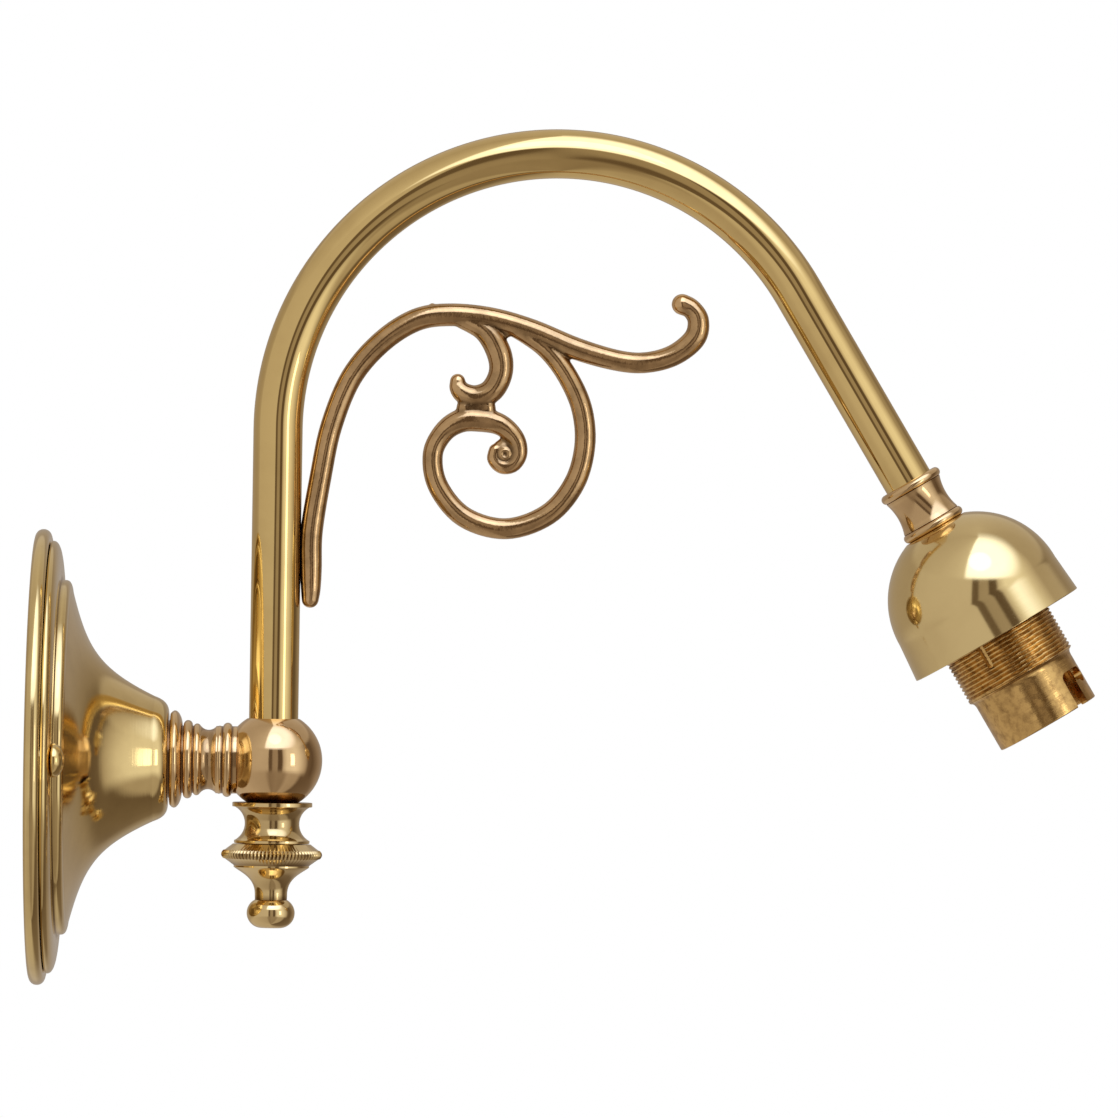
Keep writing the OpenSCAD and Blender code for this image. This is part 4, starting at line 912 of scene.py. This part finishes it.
for name, body, turn in (("spring_front", "plunger_front", 0), ("spring_rear", "plunger_rear", 180)):
    at = plunger_at(turn)
    vertices, faces = [], []
    for i in range(rings + 1):
        a = 2 * math.pi * i / per_turn
        h = coil_start + wire_r + (coil_l - 2 * wire_r) * i / rings
        for k in range(sides):
            b = 2 * math.pi * k / sides
            r = coil_r + wire_r * math.cos(b)
            vertices.append((at @ Vector((r * math.cos(a), r * math.sin(a), h + wire_r * math.sin(b)))) * MM)
    for i in range(rings):
        for k in range(sides):
            n = (k + 1) % sides
            faces.append((i * sides + k, (i + 1) * sides + k, (i + 1) * sides + n, i * sides + n))
    faces += [tuple(range(sides)), tuple(range(rings * sides, (rings + 1) * sides))[::-1]]
    spring = mesh_object(name + "_wound", vertices, faces)
    finish_piece(spring, "bracket", [name], zinc)
    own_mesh(spring)

# Wiring parts
# Bought parts that stay out of sight: terminal block, screws, nipples, nut, washers, cable bush, the
# lampholder's cap and its contact block. They keep their solids and get their own finishes.


def moulded(name, light, dark, smooth, rough, scale, sheen):
    """A moulded plastic or rubber with faint flow marks."""
    material = bpy.data.materials.new(name)
    material.use_nodes = True
    tree = material.node_tree
    shader = tree.nodes["Principled BSDF"]
    shader.inputs["Specular IOR Level"].default_value = sheen
    where = tree.nodes.new("ShaderNodeTexCoord")
    flow = noise(tree, where.outputs["Object"], scale, 4.0, 0.6)
    tree.links.new(mixed(tree, "RGBA", flow, light, dark), shader.inputs["Base Color"])
    tree.links.new(mixed(tree, "FLOAT", flow, smooth, rough), shader.inputs["Roughness"])
    relief = tree.nodes.new("ShaderNodeBump")
    relief.inputs["Strength"].default_value = 0.2
    relief.inputs["Distance"].default_value = 0.1 * MM
    tree.links.new(noise(tree, where.outputs["Object"], 6 * scale, 2.0), relief.inputs["Height"])
    tree.links.new(relief.outputs["Normal"], shader.inputs["Normal"])
    return material


nylon = moulded("natural_nylon", (0.78, 0.76, 0.70, 1), (0.68, 0.66, 0.58, 1), 0.4, 0.6, 160.0, 0.4)
moulding = moulded("contact_moulding", (0.80, 0.78, 0.73, 1), (0.70, 0.68, 0.62, 1), 0.2, 0.4, 120.0, 0.5)
rubber = moulded("bush_rubber", (0.030, 0.030, 0.032, 1), (0.016, 0.016, 0.017, 1), 0.55, 0.8, 200.0, 0.3)
kept = {"terminal_block": nylon, "contact_block": moulding, "cable_bush": rubber, "holder_cap": patina_brass}
for node in ("terminal_screws", "block_screws", "earth_washer", "neck_washer", "neck_nut", "cap_grub_screw",
             "contact_screws"):
    kept[node] = zinc
for node in ("terminal_tubes", "earth_screw", "neck_nipple", "arm_nipple", "lamp_nipple", "cap_earth_screw",
             "contact_tubes"):
    kept[node] = bright_brass
for node, material in kept.items():
    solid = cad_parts[node]
    solid.data.materials.clear()
    solid.data.materials.append(material)

# Studio
# A pale floor far below, two soft window lamps, and a surround that is white to the camera and a plain
# made-up room to the polished metal. The camera looks straight along the wall, as the photograph does.
floor_z, floor_reach = -0.32, 3
floor = mesh_object("floor", [(x * floor_reach, y * floor_reach, floor_z)
                              for x, y in ((-1, -1), (1, -1), (1, 1), (-1, 1))], [(0, 1, 2, 3)])
paper = bpy.data.materials.new("floor_paper")
paper.use_nodes = True
paper_tree = paper.node_tree
paper_out = paper_tree.nodes["Material Output"]
paper_shader = paper_tree.nodes["Principled BSDF"]
paper_shader.inputs["Base Color"].default_value = (0.86, 0.86, 0.85, 1)
paper_shader.inputs["Roughness"].default_value = 0.9
glow = paper_tree.nodes.new("ShaderNodeEmission")
glow.inputs["Color"].default_value = (1, 1, 1, 1)
rays = paper_tree.nodes.new("ShaderNodeLightPath")
seen = worked(paper_tree, "MAXIMUM", rays.outputs["Is Camera Ray"], rays.outputs["Is Transmission Ray"])
mix = paper_tree.nodes.new("ShaderNodeMixShader")
paper_tree.links.new(worked(paper_tree, "MULTIPLY", seen, 0.85), mix.inputs["Fac"])
paper_tree.links.new(paper_shader.outputs["BSDF"], mix.inputs[1])
paper_tree.links.new(glow.outputs["Emission"], mix.inputs[2])
# The floor is clear from below, so that the bracket can be looked at from there too
underneath = paper_tree.nodes.new("ShaderNodeNewGeometry")
clear = paper_tree.nodes.new("ShaderNodeBsdfTransparent")
from_above = paper_tree.nodes.new("ShaderNodeMixShader")
paper_tree.links.new(underneath.outputs["Backfacing"], from_above.inputs["Fac"])
paper_tree.links.new(mix.outputs["Shader"], from_above.inputs[1])
paper_tree.links.new(clear.outputs["BSDF"], from_above.inputs[2])
paper_tree.links.new(from_above.outputs["Shader"], paper_out.inputs["Surface"])
floor.data.materials.append(paper)
floor.visible_glossy = False

world = bpy.data.worlds.new("studio")
bpy.context.scene.world = world
world.use_nodes = True
sky = world.node_tree
sky.nodes.clear()
sky_out = sky.nodes.new("ShaderNodeOutputWorld")
direction = sky.nodes.new("ShaderNodeTexCoord")
axes = sky.nodes.new("ShaderNodeSeparateXYZ")
sky.links.new(direction.outputs["Generated"], axes.inputs["Vector"])
# Bearing round the bracket: 0.5 is straight behind the camera, 0 and 1 straight behind the bracket
to_camera = worked(sky, "MULTIPLY", axes.outputs["Y"], -1.0)
turns = worked(sky, "DIVIDE", worked(sky, "ARCTAN2", axes.outputs["X"], to_camera), 2 * math.pi)
bearing = worked(sky, "ADD", turns, 0.5)


def as_bearing(degrees):
    """A bearing in degrees from the camera's side, on the scale from nought to one."""
    return 0.5 + degrees / 360


def banded(tree, value, stops):
    """A ramp of grey levels at bearings in degrees from the camera's side; darker levels are warmer."""
    node = tree.nodes.new("ShaderNodeValToRGB")
    ramp = node.color_ramp
    while len(ramp.elements) > 1:
        ramp.elements.remove(ramp.elements[0])
    for number, (degrees, level) in enumerate(stops):
        stop = ramp.elements[0] if number == 0 else ramp.elements.new(as_bearing(degrees))
        stop.position = as_bearing(degrees)
        stop.color = (level, level ** 1.15, level ** 1.3, 1)
    tree.links.new(value, node.inputs["Fac"])
    return node.outputs["Color"]


def between(tree, value, low, high):
    """Nought below low, one above high, and a smooth step from one to the other."""
    node = tree.nodes.new("ShaderNodeMapRange")
    node.interpolation_type = "SMOOTHSTEP"
    node.inputs["From Min"].default_value = low
    node.inputs["From Max"].default_value = high
    tree.links.new(value, node.inputs["Value"])
    return node.outputs["Result"]


# At eye level: a shaded room at the left, the dark of the camera, a doorway, a window and dark corners.
# Higher up the walls are pale, and brightest above the camera. Lower down there is a shaded floor.
eye_level = banded(sky, bearing, [
    (-180, 0.4), (-108, 0.42), (-95, 0.48), (-90, 0.58), (-10, 0.62), (-8.5, 0.16), (-1.5, 0.15), (0.5, 0.38),
    (12, 0.4), (14, 0.12), (23, 0.14), (26, 0.6), (36, 0.95), (57, 1.0), (64, 0.9), (84, 0.5), (93, 0.18),
    (108, 0.14), (135, 0.32), (162, 0.38), (180, 0.4)])
upper = banded(sky, bearing, [
    (-180, 0.6), (-110, 0.52), (-60, 0.58), (-38, 0.64), (-23, 0.72), (-18, 0.95), (45, 0.98), (66, 0.9),
    (82, 0.66), (94, 0.46), (130, 0.5), (180, 0.6)])
lower = banded(sky, bearing, [
    (-180, 0.55), (-100, 0.56), (-20, 0.48), (-8, 0.3), (10, 0.36), (30, 0.34), (42, 0.5), (70, 0.46),
    (82, 0.16), (150, 0.22), (180, 0.55)])
height_up = axes.outputs["Z"]
room = mixed(sky, "RGBA", between(sky, height_up, 0.42, 0.53), eye_level, upper)
room = mixed(sky, "RGBA", between(sky, worked(sky, "MULTIPLY", height_up, -1.0), 0.28, 0.52), room, lower)
# Daylight from the high window: a soft bluish patch above the camera, with a hard edge at its left
patch_middle, daylight = (0.119, -0.561, 0.819), (1.75, 1.95, 2.5, 1)
patch = sky.nodes.new("ShaderNodeVectorMath")
patch.operation = "DOT_PRODUCT"
patch.inputs[1].default_value = patch_middle
sky.links.new(direction.outputs["Generated"], patch.inputs[0])
patch_edge = worked(sky, "MULTIPLY", between(sky, patch.outputs["Value"], 0.70, 0.94),
                    between(sky, bearing, as_bearing(-23), as_bearing(-17)))
patch_edge = worked(sky, "MULTIPLY", patch_edge, between(sky, height_up, 0.44, 0.53))
room = mixed(sky, "RGBA", patch_edge, room, daylight)

# The camera sees white, polished metal sees the room, and plain light comes from all round
sky_rays = sky.nodes.new("ShaderNodeLightPath")
mirror_ray = sky_rays.outputs["Is Glossy Ray"]
shown = worked(sky, "ADD", sky_rays.outputs["Is Camera Ray"], mirror_ray, clamp=True)
shown = worked(sky, "ADD", shown, sky_rays.outputs["Is Transmission Ray"], clamp=True)
background = mixed(sky, "RGBA", shown, (0.64, 0.64, 0.64, 1), (1, 1, 1, 1))
background = mixed(sky, "RGBA", mirror_ray, background, room, blend="MULTIPLY")
ground = sky.nodes.new("ShaderNodeBackground")
sky.links.new(background, ground.inputs["Color"])
sky.links.new(ground.outputs["Background"], sky_out.inputs["Surface"])

bracket_middle = Vector((0.12, 0.0, 0.04))


def lamp(name, shape, turn, rise_angle, distance, size, power):
    """A soft lamp at a bearing from the camera's side and a rise, in degrees, turned to the bracket."""
    data = bpy.data.lights.new(name, "AREA")
    data.shape = shape
    data.size, data.size_y = size
    data.energy = power
    light = placed(name, data)
    a, b = math.radians(turn), math.radians(rise_angle)
    away = Vector((math.sin(a) * math.cos(b), -math.cos(a) * math.cos(b), math.sin(b)))
    light.location = bracket_middle + distance * away
    light.rotation_euler = away.to_track_quat("Z", "Y").to_euler()


lamp("window", "RECTANGLE", 48, 2, 3.2, (0.55, 1.4), 3.9)
lamp("high_window", "ELLIPSE", 5, 52, 3.2, (1.5, 1.5), 4.0)

frame_width, distance, roll = 0.27231, 2.981, -0.88
camera_data = bpy.data.cameras.new("photo")
camera_data.sensor_width = 36
camera_data.lens = camera_data.sensor_width * distance / frame_width
camera_data.clip_end = 20
camera = placed("photo", camera_data)
camera.location = (0.1274, -distance, 0.05014)
camera.rotation_euler = (math.pi / 2, math.radians(roll), 0)
bpy.context.scene.camera = camera
bpy.context.scene.view_settings.view_transform = "Standard"

bpy.context.view_layer.update()
